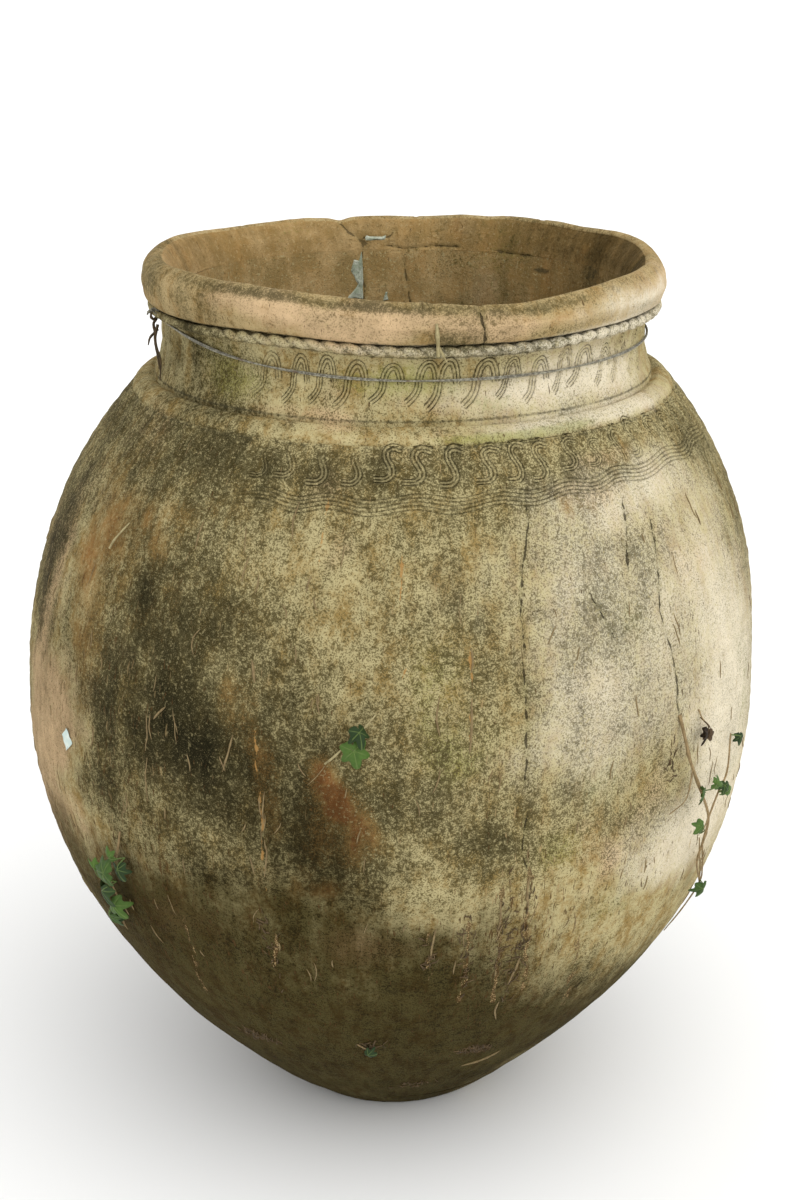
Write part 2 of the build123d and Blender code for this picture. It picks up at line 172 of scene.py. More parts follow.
def outer_radius(z):
    """Radius of the plain outside: a full curve below the belly and a fuller one above it."""
    below = np.clip((BELLY_HEIGHT - z) / BELLY_HEIGHT, 0, 1)
    above = np.clip((z - BELLY_HEIGHT) / (BODY_TOP - BELLY_HEIGHT), 0, 1.2)
    low = (BELLY_RADIUS - FOOT_RADIUS) * below ** LOWER_FULLNESS
    high = (BELLY_RADIUS - NECK_SEAT_RADIUS) * above ** UPPER_FULLNESS
    return BELLY_RADIUS - low - high


def slope(z):
    """How fast the outside widens with height."""
    return (outer_radius(z + 1e-3) - outer_radius(z - 1e-3)) / 2e-3


ARC_HEIGHTS = np.linspace(0, 1.1, 1101)
ARC_STEPS = np.hypot(np.diff(ARC_HEIGHTS), np.diff(outer_radius(ARC_HEIGHTS)))
ARC_LENGTHS = np.concatenate([[0], np.cumsum(ARC_STEPS)])


def arc_length(z):
    """Length up the outside from the floor."""
    return np.interp(z, ARC_HEIGHTS, ARC_LENGTHS)


def inner_radius(z):
    """Radius of the plain inside, one wall's thickness in from the outside."""
    return outer_radius(z) - WALL * np.hypot(1, slope(z))


# The hand-built jar isn't quite upright: its middle line wanders to the left at the belly and to the
# right at the mouth.
LEAN_HEIGHTS = (0, 0.3, 0.55, 0.7, 0.8, 0.9, 1.0, 1.2)
LEAN_ASIDE = (0, -0.006, -0.008, -0.0055, 0, 0.004, 0.010, 0.0125)
LEAN_TABLE = np.convolve(np.interp(np.linspace(-0.2, 1.4, 161), LEAN_HEIGHTS, LEAN_ASIDE),
                         np.hanning(13) / np.hanning(13).sum(), mode="same")


def lean(z):
    """How far the middle line stands aside at a height."""
    return np.interp(z, np.linspace(-0.2, 1.4, 161), LEAN_TABLE)


def around(azimuth, radius, z):
    """Points at azimuths in degrees, with the jar's lean."""
    turn = np.radians(azimuth)
    return np.stack([radius * np.sin(turn) + lean(z), -radius * np.cos(turn), z + 0 * radius], axis=-1)


def segment_distance(u, v, start, end):
    """Distance from points to a straight run, their side of it, how far along it they are and its length."""
    run = np.array(end, float) - np.array(start, float)
    du, dv = u - start[0], v - start[1]
    raw = (du * run[0] + dv * run[1]) / (run @ run)
    share = np.clip(raw, 0, 1)
    away = np.hypot(du - share * run[0], dv - share * run[1])
    return away, np.sign(run[0] * dv - run[1] * du), raw, math.hypot(*run)


# ---------------------------------------------------------------- combed bands
COMB_STEP = 0.0040
COMB_FROM = 0.955
HOOK = [(-0.021, -0.023), (-0.014, -0.017), (-0.009, -0.009), (-0.007, 0.002), (-0.0035, 0.011),
        (0.003, 0.0165),
        (0.009, 0.0145), (0.0125, 0.007), (0.0135, -0.001)]
HOOK = [tuple(place) for place in catmull(np.array(HOOK), 3)]
ESS = [(0.013, 0.018), (0.004, 0.021), (-0.003, 0.016), (-0.002, 0.006), (0.003, -0.004), (0.004, -0.013),
       (-0.002, -0.020), (-0.013, -0.020)]
ESS = [tuple(place) for place in catmull(np.array(ESS), 2)]
HOOK_COUNT = 53
ESS_COUNT = 62
HOOK_LEVEL = 1.096
ESS_LEVEL = 1.010
WAVE_LEVEL = 0.9795


def repeated_stroke(azimuth, along, level, count, stroke, radius, jitter):
    """Signed distance to one combed figure repeated round the jar; no two are alike."""
    rng = np.random.default_rng(jitter)
    shift = rng.normal(0, 0.003, count)
    rise = rng.normal(0, 0.0022, count)
    grow = rng.normal(1, 0.10, (count, 2))
    pitch = 2 * math.pi * radius / count
    u = np.radians(azimuth) * radius
    best = np.full(azimuth.shape, 0.05)
    side = np.ones(azimuth.shape)
    past = np.zeros(azimuth.shape)
    last = len(stroke) - 2
    for offset in (-1, 0, 1):
        cell = np.floor(u / pitch).astype(int) + offset
        which = cell % count
        local_u = (u - (cell + 0.5) * pitch - shift[which]) / grow[which, 0]
        local_v = (along - level - rise[which]) / grow[which, 1]
        for place, (start, end) in enumerate(zip(stroke, stroke[1:])):
            away, hand, share, length = segment_distance(local_u, local_v, start, end)
            nearer = away < best
            beyond = np.maximum(-share if place == 0 else 0, share - 1 if place == last else 0) * length
            best = np.where(nearer, away, best)
            side = np.where(nearer, hand, side)
            past = np.where(nearer, beyond, past)
    return best * side, 1 - smooth(0.0002, 0.0035, past)


def slope_rise(z):
    """Height measured along the shoulder's slope near the neck."""
    return (z - ESS_LEVEL) * 1.28


def comb_field(azimuth, z, points):
    """Signed distance to the combing, shifted so that grooves lie on whole steps, and its strength."""
    if z.max() < COMB_FROM:
        return np.zeros(z.shape), np.zeros(z.shape)
    hooks, hook_on = repeated_stroke(azimuth, z, HOOK_LEVEL + 0.002 * np.sin(np.radians(azimuth * 3)),
                                     HOOK_COUNT,
                                     HOOK, NECK_WAIST, 3)
    esses, ess_on = repeated_stroke(azimuth, slope_rise(z), 0, ESS_COUNT, ESS, 0.377, 4)
    wave = 0.0030 * np.sin(np.radians(azimuth) * 0.4 / 0.0150 + 2 * PATCHES(points, 0.12))
    band = z - WAVE_LEVEL - wave - 0.005 * np.sin(np.radians(azimuth * 2 - 60))
    on_neck = z > RIDGE_TOP
    in_band = np.abs(band) < 0.0120
    distance = np.where(on_neck, hooks, np.where(in_band, band + COMB_STEP / 2, esses))
    lines = np.where(~on_neck & in_band, 0.0098, 0.0062)
    strength = 1 - smooth(lines * 0.8, lines * 1.15, np.abs(distance))
    strength = strength * np.where(on_neck, hook_on, np.where(in_band, 0.62, ess_on * 0.8))
    worn = smooth(-0.75, 0.1, PATCHES(points + 3, 0.10) + 0.35)
    faint = 1 - 0.55 * smooth(-18, -40, azimuth) * smooth(-150, -110, azimuth)
    reach = smooth(0.955, 0.962, z)
    return distance, strength * worn * reach * faint


def comb_groove(distance, strength):
    """How deep each groove is, from 0 to 1."""
    ripple = 0.5 + 0.5 * np.cos(2 * math.pi * distance / COMB_STEP)
    return strength * smooth(0.35, 0.85, ripple)


# ---------------------------------------------------------------- cracks, runs and seams
# Each is a line of (azimuth, height) places on the outside.
CRACKS = [
    [(20.3, 0.965), (20.0, 0.93), (18.6, 0.895), (17.4, 0.852), (17.6, 0.82)],
    [(17.6, 0.80), (18.1, 0.759), (18.8, 0.70), (18.2, 0.66)],
    [(19.4, 0.607), (19.0, 0.57), (19.6, 0.545)],
    [(43.9, 0.925), (42.9, 0.88), (41.7, 0.831)],
    [(41.8, 0.825), (43.9, 0.778), (44.6, 0.73), (45.1, 0.696)],
    [(39.3, 0.952), (38.6, 0.925)],
    [(37.6, 0.907), (36.8, 0.885)],
    [(29.5, 0.86), (32.6, 0.815)],
    [(15.2, 1.195), (15.6, 1.17), (16.4, 1.135)],
    [(-118, 0.93), (-121, 0.84), (-119, 0.76)],
    [(152, 0.98), (149, 0.9), (153, 0.83), (151, 0.75)],
    [(-160, 0.62), (-158, 0.5), (-161, 0.41)],
    [(101, 0.74), (99, 0.66), (103, 0.57)],
]
BROWN_RUNS = [
    [(5.7, 0.456), (6.0, 0.42), (6.4, 0.388)],
    [(11.4, 0.467), (11.9, 0.40), (12.0, 0.334)],
    [(16.4, 0.528), (16.2, 0.457), (18.2, 0.322)],
    [(20.0, 0.536), (19.7, 0.499), (23.1, 0.338)],
    [(-33, 0.43), (-34, 0.36), (-36, 0.30)],
    [(-17, 0.44), (-18, 0.39)],
    [(31, 0.41), (33, 0.33), (36, 0.27)],
    [(-100, 0.52), (-101, 0.40), (-104, 0.29)],
    [(128, 0.50), (129, 0.38), (127, 0.30)],
    [(170, 0.46), (172, 0.33)],
]
ORANGE_RUNS = [
    [(-18.4, 0.715), (-17.6, 0.634), (-17.3, 0.515)],
    [(10.6, 0.822), (10.5, 0.79)],
    [(10.6, 0.765), (10.8, 0.73), (11.0, 0.691)],
    [(0.9, 0.917), (0.3, 0.876)],
    [(2.0, 0.805), (0.7, 0.777)],
    [(-12.2, 0.97), (-12.0, 0.91)],
    [(95, 0.82), (94, 0.71)],
    [(-140, 0.86), (-142, 0.74)],
    [(176, 0.72), (175, 0.60)],
]
INSIDE_CRACKS = [
    [(-162, 1.20), (-163.5, 1.183), (-166.5, 1.168), (-168.2, 1.162)],
    [(-168.2, 1.165), (-168.0, 1.13), (-168.4, 1.08), (-168, 1.05)],
    [(-175.8, 1.158), (180, 1.153), (172, 1.158), (166, 1.157)],
    [(152, 1.154), (146, 1.151), (143, 1.152)],
    [(179.5, 1.137), (177.9, 1.08), (179, 1.05)],
    [(-168.5, 1.17), (-174.8, 1.171), (-176.5, 1.182)],
    [(88, 1.195), (91, 1.17), (90, 1.14)],
]
FIELD_REACH = 0.012


def line_field(azimuth, z, radius, points, lines):
    """Signed distance to the lines as a share of the field's reach, and 1 near them."""
    best = np.full(azimuth.shape, FIELD_REACH)
    side = np.ones(azimuth.shape)
    wander = 0.0040 * EDGES(points, 0.045) + 0.0022 * EDGES(points + 2, 0.016)
    for places in lines:
        middle = places[0][0]
        u = np.radians(aside_from(azimuth, middle)) * radius + wander
        runs = [(math.radians(aside_from(a, middle)), h) for a, h in places]
        for (turn0, z0), (turn1, z1) in zip(runs, runs[1:]):
            mean = float(np.interp((z0 + z1) / 2, [0, BELLY_HEIGHT, BODY_TOP, 1.1, 1.2],
                                   [FOOT_RADIUS, BELLY_RADIUS, NECK_SEAT_RADIUS, 0.30, 0.33]))
            away, hand, _, _ = segment_distance(u, z, (turn0 * mean, z0), (turn1 * mean, z1))
            nearer = away < best
            best = np.where(nearer, away, best)
            side = np.where(nearer, hand, side)
    return best * side / FIELD_REACH, 1 - smooth(0.5, 0.85, best / FIELD_REACH)


# ---------------------------------------------------------------- weathering and painted shade
# (azimuth, height, half width in degrees, half height, amount)
LICHEN = [
    (-30, 1.194, 16, 0.007, 0.50), (2, 1.194, 14, 0.006, 0.45), (28, 1.192, 10, 0.007, 0.40),
    (-72, 1.175, 8, 0.02, 0.35), (-71, 0.84, 6, 0.11, 0.60), (-61, 0.78, 4, 0.12, 0.30),
    (0, 1.052, 60, 0.012, 0.14), (-12, 1.172, 8, 0.014, 0.22), (14, 1.178, 8, 0.010, 0.22),
    (-31, 0.76, 9, 0.12, 0.50), (-47, 0.68, 4, 0.13, 0.30), (-29, 0.66, 11, 0.07, 0.20),
    (-42, 1.00, 26, 0.035, 0.24), (-8, 1.005, 24, 0.022, 0.26), (22, 1.005, 22, 0.02, -0.04),
    (-4, 0.62, 18, 0.09, 0.20), (-14, 0.70, 8, 0.10, 0.14), (3, 0.89, 20, 0.07, -0.16),
    (26, 0.72, 12, 0.12, -0.04), (52, 0.84, 13, 0.15, -0.30), (-57, 0.86, 10, 0.10, -0.22),
    (38, 0.95, 14, 0.03, -0.30), (64, 0.62, 14, 0.2, -0.34), (-62, 0.60, 11, 0.14, -0.80),
    (-67, 0.80, 9, 0.10, -0.30), (70, 0.98, 8, 0.05, 0.15), (22, 0.585, 12, 0.03, 0.06),
    (-110, 0.75, 16, 0.2, 0.30), (140, 0.72, 24, 0.2, 0.25), (-150, 0.85, 20, 0.14, -0.2),
    (100, 0.60, 14, 0.2, -0.25), (175, 0.65, 14, 0.14, 0.30), (-128, 0.5, 12, 0.08, 0.25),
    (-100, 1.0, 30, 0.03, 0.25), (150, 1.0, 40, 0.03, 0.25), (-52, 1.09, 22, 0.05, 0.24),
    (-20, 1.08, 14, 0.03, 0.10), (48, 1.09, 24, 0.05, -0.14), (-50, 1.168, 14, 0.030, 0.34),
    (-20, 1.193, 16, 0.006, 0.20), (9, 1.148, 9, 0.010, 0.36), (34, 1.147, 10, 0.006, 0.26),
    (64, 1.150, 10, 0.01, 0.26), (-75, 1.17, 10, 0.03, 0.2), (140, 1.18, 30, 0.02, 0.3),
    (-130, 1.16, 24, 0.02, 0.3),
]
RUST = [
    (-52, 0.93, 11, 0.07, 0.16), (-60, 1.02, 12, 0.03, 0.30), (-10, 0.54, 5, 0.03, 0.35),
    (-50, 0.80, 7, 0.09, 0.42), (-46, 0.90, 8, 0.05, 0.38), (-58, 0.95, 10, 0.05, 0.50),
    (-38, 0.84, 6, 0.06, 0.36), (-22, 0.72, 3, 0.05, 0.55), (-20, 0.77, 4, 0.03, 0.45),
    (0, 0.83, 3, 0.03, 0.3), (-28, 0.95, 8, 0.02, 0.3), (-30, 1.17, 10, 0.02, 0.3),
    (20, 1.18, 12, 0.014, 0.35), (-8, 1.185, 14, 0.01, 0.3), (25, 0.62, 6, 0.05, 0.25),
    (-8.5, 0.665, 3.6, 0.045, 0.90), (-5.5, 0.615, 4.4, 0.050, 0.98), (-10.0, 0.590, 2.4, 0.03, 0.5),
    (-9.5, 0.520, 4.0, 0.020, 0.75), (-17.4, 0.62, 2.4, 0.07, 0.70), (-18.5, 0.69, 2.0, 0.05, 0.5),
    (-12, 0.60, 2.5, 0.05, 0.35), (-56, 0.87, 6, 0.06, 0.55), (-40, 0.93, 9, 0.04, 0.35),
    (29, 0.545, 6, 0.03, 0.45), (-37, 0.53, 3, 0.03, 0.45), (-25, 0.83, 5, 0.05, 0.25),
    (58, 0.70, 3, 0.06, 0.3), (30, 0.965, 7, 0.02, 0.4), (43, 1.005, 5, 0.02, 0.45),
    (-44, 0.44, 8, 0.06, 0.35), (-30, 1.055, 9, 0.01, 0.35), (-52, 0.74, 3.5, 0.10, 0.35),
    (105, 0.80, 10, 0.08, 0.5), (-95, 0.66, 8, 0.06, 0.5), (-165, 0.62, 10, 0.07, 0.7),
    (160, 0.9, 10, 0.05, 0.4), (125, 0.6, 8, 0.06, 0.5),
]
MOSS = [
    (-42, 1.10, 14, 0.030, 0.40), (10, 1.10, 10, 0.020, 0.35), (-20, 1.07, 12, 0.012, 0.35),
    (7, 0.80, 5, 0.06, 0.55), (9, 0.70, 6, 0.05, 0.8), (30, 0.64, 6, 0.06, 0.55), (24, 0.555, 6, 0.03, 0.75),
    (38, 0.47, 8, 0.05, 0.35), (-50, 0.24, 16, 0.05, 0.5), (55, 0.24, 14, 0.06, 0.6),
    (-4, 1.095, 12, 0.02, 0.8), (18, 1.07, 9, 0.014, 0.6), (-40, 1.085, 8, 0.03, 0.6),
    (14, 1.037, 14, 0.008, 0.95), (34, 1.037, 10, 0.008, 0.7), (-12, 1.04, 7, 0.008, 0.6),
    (67, 0.62, 5, 0.2, 0.35), (-60, 0.92, 8, 0.05, 0.3), (-3, 0.69, 5, 0.06, 0.3), (38, 0.80, 5, 0.05, 0.4),
    (20, 0.13, 30, 0.03, 0.4), (-15, 0.10, 20, 0.03, 0.4), (55, 1.10, 12, 0.03, 0.3),
    (-90, 0.3, 20, 0.1, 0.5), (120, 0.35, 25, 0.12, 0.5), (180, 0.3, 20, 0.1, 0.5),
    (-150, 1.06, 30, 0.03, 0.6), (110, 1.06, 20, 0.02, 0.6), (-120, 0.8, 10, 0.08, 0.5),
    (165, 0.8, 12, 0.08, 0.5),
]
PEACH = [
    (30, 0.72, 7, 0.05, 0.30), (50, 0.88, 9, 0.06, 0.35), (12, 0.95, 9, 0.02, 0.30),
    (40, 0.60, 8, 0.03, 0.35), (-68, 0.84, 8, 0.12, 0.55), (-4, 0.435, 16, 0.03, 0.20),
    (28, 0.99, 12, 0.02, 0.35), (-56, 1.02, 12, 0.03, 0.35), (22, 1.075, 16, 0.02, 0.45),
    (48, 1.06, 10, 0.014, 0.40), (-24, 1.055, 14, 0.012, 0.4), (2, 1.185, 12, 0.01, 0.3),
    (-63, 0.59, 10, 0.16, 0.9), (-8, 1.165, 22, 0.03, 0.75), (22, 1.165, 20, 0.03, 0.6),
    (62, 1.165, 25, 0.03, 0.35), (-28, 1.18, 14, 0.02, 0.5), (60, 0.80, 10, 0.1, 0.25),
    (32, 0.97, 10, 0.015, 0.45), (40, 1.005, 8, 0.012, 0.5), (-35, 0.44, 14, 0.05, 0.45),
    (0, 0.46, 14, 0.04, 0.35), (38, 0.52, 10, 0.06, 0.4), (57, 0.45, 10, 0.08, 0.3),
    (180, 1.165, 60, 0.03, 0.4), (-110, 0.5, 20, 0.1, 0.4), (120, 0.5, 20, 0.1, 0.4),
    (-14, 0.985, 6, 0.02, 0.3),
]
PALE = [
    (54, 1.170, 18, 0.03, 0.45), (30, 0.82, 15, 0.14, 0.55), (38, 0.49, 12, 0.07, 0.50),
    (40, 0.97, 18, 0.04, 0.50), (28, 0.68, 12, 0.10, 0.40), (58, 0.75, 18, 0.22, 0.70),
    (20, 0.90, 20, 0.06, 0.22), (45, 1.08, 30, 0.04, 0.8), (10, 1.085, 20, 0.03, 0.3),
    (66, 0.55, 14, 0.2, 0.55), (50, 0.5, 12, 0.08, 0.6), (0, 1.132, 80, 0.01, 0.45),
    (50, 1.132, 40, 0.01, 0.6), (42, 1.04, 30, 0.01, 0.5), (70, 1.16, 25, 0.03, 0.5),
    (-24, 0.86, 8, 0.06, 0.15), (150, 0.85, 30, 0.12, 0.5), (-140, 0.8, 20, 0.1, 0.3),
    (90, 0.7, 14, 0.25, 0.5),
]
# Damp stains and painted shade: the wide bands round the foot, the big patch on the left and the two on the
# left of the neck are painted shade.
DAMP_AND_SHADE = [
    (-55, 0.66, 30, 0.30, 0.12), (0, 0.24, 90, 0.12, 0.17), (-66, 0.72, 9, 0.16, 0.10),
    (0, 0.20, 90, 0.10, 0.12), (-10, 0.62, 12, 0.12, 0.10), (-4, 0.36, 24, 0.05, 0.26),
    (-3, 0.43, 18, 0.06, 0.30), (-22, 0.58, 22, 0.12, 0.15), (-20, 0.47, 24, 0.06, 0.12),
    (-38, 0.42, 13, 0.07, 0.34), (-12, 0.51, 14, 0.04, 0.24), (0, 1.165, 34, 0.03, 0.20),
    (0, 0.22, 90, 0.08, 0.20), (-40, 0.30, 20, 0.06, 0.14), (-15, 0.64, 11, 0.11, 0.27),
    (-62, 1.10, 14, 0.04, 0.20), (-48, 1.09, 20, 0.05, 0.20), (62, 1.165, 22, 0.03, -0.10),
    (-31, 0.77, 10, 0.11, 0.26), (-6, 0.56, 10, 0.05, 0.14), (-2, 0.27, 16, 0.05, 0.28),
    (-38, 0.37, 14, 0.08, 0.22), (6, 0.35, 6, 0.06, 0.12), (-22, 0.51, 12, 0.03, 0.18),
    (12, 0.17, 30, 0.05, 0.2), (170, 0.6, 20, 0.2, 0.15),
]
# Holes in the inner wall, painted dark and not cut: painted shade.
INSIDE_HOLES = [(137, 1.134, 3.2, 0.0045, 1.2), (118, 1.14, 8, 0.02, 0.5), (104, 1.12, 10, 0.03, 0.45)]
SCARS = [
    (20, 0.42, 7, 0.14, 0.5), (12, 0.38, 4, 0.08, 0.4), (-20, 0.36, 10, 0.08, 0.3), (47, 0.70, 4, 0.16, 0.5),
    (17, 0.62, 4, 0.1, 0.4), (-45, 0.6, 12, 0.2, 0.4), (-28, 0.215, 4, 0.012, 1.2), (18, 0.20, 5, 0.012, 1.2),
]


def spots(azimuth, z, points, places):
    """Soft-edged patches added up: weathering, damp and painted shade."""
    wander_u = 5.0 * PATCHES(points, 0.09) + 2.4 * PATCHES(points + 5, 0.03)
    wander_v = 0.018 * PATCHES(points + 9, 0.08) + 0.008 * PATCHES(points + 4, 0.03)
    total = np.zeros(azimuth.shape)
    for middle, level, half_width, half_height, amount in places:
        across = (aside_from(azimuth, middle) + wander_u * min(1, half_width / 8)) / half_width
        up = (z - level + wander_v * min(1, half_height / 0.05)) / half_height
        total += amount * np.exp(-(across ** 2 + up ** 2) ** 1.3)
    return total


def narrow(z, level, half):
    """1 at a level, gone a little above and below it."""
    return np.exp(-((z - level) / half) ** 2)


def paint_outside(azimuth, z, points):
    """What lies where on the outside of the jar, with painted shade low down and on the left."""
    radius = outer_radius(np.clip(z, 0, BODY_TOP))
    on_body = 1 - smooth(BODY_TOP - 0.004, BODY_TOP + 0.006, z)
    cloud = fractal(PATCHES, points, 0.14, 3)
    tint = fractal(PATCHES, points + 31, 0.10, 2)
    streak = PATCHES(points * np.array([1, 1, 0.12]), 0.028)
    streak = streak + 0.6 * PATCHES(points * np.array([1, 1, 0.1]) + 5, 0.012)
    edge = 0.500 + 0.016 * PATCHES(points, 0.10) + 0.05 * np.sin(np.radians(azimuth * 1.1 + 10)) ** 2
    washed = (1 - smooth(edge - 0.030, edge + 0.030, z)) * on_body
    left = smooth(8, -62, azimuth) * smooth(-160, -90, azimuth)
    lichen = 0.42 * on_body + 0.10 * cloud + 0.06 * streak + spots(azimuth, z, points, LICHEN)
    lichen = lichen - washed * 0.26 + 0.10 * (1 - on_body)
    right = smooth(14, 48, azimuth) * smooth(150, 90, azimuth)
    # Darker towards the foot, partly damp and partly painted shade under the jar; the left side is darkened
    # with painted shade; less darkening on the right.
    damp_and_shade = 0.50 * smooth(0.40, 0.22, z) + 0.36 * smooth(0.54, 0.44, z) * (1 - 0.85 * right)
    damp_and_shade = damp_and_shade + left * (0.12 + 0.14 * washed) + spots(azimuth, z, points, DAMP_AND_SHADE)
    damp_and_shade = damp_and_shade + 0.08 * on_body * (1 - right) - 0.20 * right * smooth(0.25, 0.40, z)
    # Soil and painted shade in the corners above and below the ridge and the rope; the line between rope and
    # rim is painted shade.
    soil_and_shade = 0.7 * narrow(z, RIDGE_TOP + 0.0035, 0.0022) + 0.5 * narrow(z, BODY_TOP - 0.0015, 0.0020)
    soil_and_shade = soil_and_shade + 0.75 * narrow(z, ROPE_FOOT - 0.0022, 0.0018) + 0.8 * narrow(z, ROPE_TOP + 0.0012, 0.0018)
    crack, crack_on = line_field(azimuth, z, radius, points, CRACKS)
    brown, brown_on = line_field(azimuth, z, radius, points, BROWN_RUNS)
    orange, orange_on = line_field(azimuth, z, radius, points, ORANGE_RUNS)
    return {
        "lichen": lichen + 0.20 * smooth(1.184, 1.196, z),
        "rust": spots(azimuth, z, points, RUST) + 0.10 * cloud,
        "moss": spots(azimuth, z, points, MOSS) + 0.10 * cloud + 0.22 * tint,
        "peach": spots(azimuth, z, points, PEACH) + 0.05 - 0.38 * tint,
        "pale": spots(azimuth, z, points, PALE) - 0.35 * washed * smooth(60, 20, np.abs(azimuth - 10)),
        "damp_and_shade": damp_and_shade,
        "soil_and_shade": soil_and_shade,
        "scar": washed * 0.40 + 0.30 * smooth(-20, -45, azimuth) * on_body + spots(azimuth, z, points, SCARS),
        "crack": crack,
        "crack_on": crack_on,
        "brown_run": brown,
        "brown_on": brown_on,
        "orange_run": orange,
        "orange_on": orange_on,
    }


def paint_inside(azimuth, z, points):
    """What lies where on the inside, with painted light on the neck's inner wall and painted shade on the
    rim's inner slope.
    """
    cloud = fractal(PATCHES, points, 0.12, 3)
    right = np.sin(np.radians(azimuth))
    stain = np.exp(-((aside_from(azimuth, 156) / 5) ** 2 + ((z - 1.10) / 0.04) ** 2) ** 2)
    stain = stain + 0.6 * np.exp(-((aside_from(azimuth, 163) / 4) ** 2 + ((z - 1.19) / 0.02) ** 2) ** 2)
    streak = PATCHES(points * np.array([1, 1, 0.2]), 0.03)
    crack, crack_on = line_field(azimuth, z, NECK_INNER + 0 * z, points, INSIDE_CRACKS)
    # Painted light: fewer specks on the neck's inner wall, from z 1.06 to 1.15, make it lighter to even out
    # its shade.
    painted_light_in_neck = 0.06 - 0.12 * smooth(1.06, 1.10, z) * smooth(1.157, 1.150, z)
    damp_and_shade = 0.6 * smooth(1.05, 0.6, z) + 0.54 * smooth(0.1, 1, right)
    nothing = np.zeros(azimuth.shape)
    return {
        "lichen": painted_light_in_neck + 0.12 * cloud + 0.08 * streak + 0.16 * right + 0.3 * smooth(1.0, 0.8, z),
        "rust": 0.42 + 0.22 * cloud,
        "moss": 0.16 + 0.25 * PATCHES(points + 8, 0.10),
        "peach": 0.20 + 0.45 * PATCHES(points + 6, 0.12) - 0.3 * right,
        "pale": 0.7 * stain + 0.2 * cloud - 0.1,
        # Painted shade: the rim's inner slope, from z 1.15 up, is darkened to match the neck's inner wall.
        "damp_and_shade": damp_and_shade + 0.12 * streak + 0.17 * smooth(1.15, 1.166, z),
        "soil_and_shade": spots(azimuth, z, points, INSIDE_HOLES),
        "scar": nothing,
        "crack": crack,
        "crack_on": crack_on * 0.72,
        "brown_run": nothing + 1,
        "brown_on": nothing,
        "orange_run": nothing + 1,
        "orange_on": nothing,
    }


# ---------------------------------------------------------------- relief
def outside_relief(azimuth, z, points, paint, groove):
    """How far the outside stands proud of the plain curve."""
    calm = 1 - 0.55 * smooth(BODY_TOP - 0.02, BODY_TOP + 0.02, z)
    relief = (0.0030 * LUMPS(points, 0.34) + 0.0013 * LUMPS(points + 1, 0.11)) * calm
    relief = relief + 0.0006 * LUMPS(points + 2, 0.040) + 0.00035 * LUMPS(points + 3, 0.015)
    relief = relief + 0.0004 * np.sin(z * 2 * math.pi / 0.021 + 2 * LUMPS(points, 0.2)) * smooth(0.2, 0.5, z)
    pits = smooth(0.52, 0.80, EDGES(points + 11, 0.013)) * smooth(-0.2, 0.3, PATCHES(points + 2, 0.12))
    relief = relief - 0.0011 * pits
    wobble = 0.004 * LUMPS(points + 6, 0.09)
    shown = smooth(-0.2, 0.5, LUMPS(points + 9, 0.15))
    relief = relief - 0.0008 * narrow(z, BELLY_FROM + wobble, 0.005) * shown
    relief = relief - 0.0009 * smooth(0.35, 0.05, np.abs(paint["crack"])) * paint["crack_on"]
    relief = relief + 0.0005 * smooth(0.3, 0.05, np.abs(paint["orange_run"])) * paint["orange_on"]
    return relief - 0.0020 * groove


def inside_relief(azimuth, z, points, paint):
    """The same for the rougher inside."""
    relief = 0.0022 * LUMPS(points + 5, 0.16) + 0.0009 * LUMPS(points + 4, 0.05)
    relief = relief + 0.0004 * LUMPS(points, 0.018)
    return relief - 0.0016 * smooth(0.35, 0.05, np.abs(paint["crack"])) * paint["crack_on"]


# ---------------------------------------------------------------- clay meshes
FAR_FROM_COMBING = 9.0
OUTSIDE = 1
INSIDE = -1
JOINT = 0
COLLAR_COLUMNS = 1060
RIM_COLUMNS = 1180
INNER_STEP = 0.03
FIELDS = ("lichen", "rust", "moss", "peach", "pale", "damp_and_shade", "soil_and_shade", "scar", "crack", "crack_on", "brown_run",
          "brown_on", "orange_run", "orange_on", "comb", "comb_on", "inside")
PLAIN = {"crack": 1.0, "crack_on": 0.0, "orange_run": 1.0, "orange_on": 0.0}


def new_mesh(name, points, faces, crease=1.0):
    """A smooth mesh object whose corners past the crease angle, in radians, stay sharp."""
    mesh = bpy.data.meshes.new(name)
    mesh.from_pydata(points, [], faces)
    mesh.update()
    mesh.shade_smooth()
    mesh.set_sharp_from_angle(angle=crease)
    piece = bpy.data.objects.new(name, mesh)
    bpy.context.scene.collection.objects.link(piece)
    return piece


def ring_faces(rows, columns, closed):
    """Quads of a grid that wraps round the jar, and round the wall's section if it is closed."""
    row = np.arange(rows if closed else rows - 1)[:, None]
    column = np.arange(columns)[None, :]
    up = (row + 1) % rows
    right = (column + 1) % columns
    quads = np.stack([row * columns + column, row * columns + right, up * columns + right,
                      up * columns + column])
    return quads.reshape(4, -1).T


def section_normals(r, z):
    """Outward directions of a closed section that runs anticlockwise in (radius, height)."""
    dr = np.roll(r, -1) - np.roll(r, 1)
    dz = np.roll(z, -1) - np.roll(z, 1)
    size = np.hypot(dr, dz)
    return dz / size, -dr / size


def spread(low, high, step):
    """Values from low to high about a step apart, with both ends."""
    return np.linspace(low, high, max(2, int(round(abs(high - low) / step)) + 1))


def dress(piece, paint, azimuth, radius, arc):
    """Stores the paint on the points, with a wrapping place whose Z runs along the surface."""
    for key in FIELDS:
        values = np.asarray(paint[key], np.float32).ravel()
        piece.data.attributes.new(key, "FLOAT", "POINT").data.foreach_set("value", values)
    turn = np.radians(azimuth)
    wrap = np.stack([radius * np.sin(turn), -radius * np.cos(turn), arc + 0 * turn], axis=-1)
    attribute = piece.data.attributes.new("wrap", "FLOAT_VECTOR", "POINT")
    attribute.data.foreach_set("vector", wrap.astype(np.float32).ravel())


def no_combing(grid):
    """The fields of a piece that lies outside the jar and wasn't combed."""
    return {"comb": FAR_FROM_COMBING + 0 * grid, "comb_on": 0 * grid, "inside": 0 * grid}


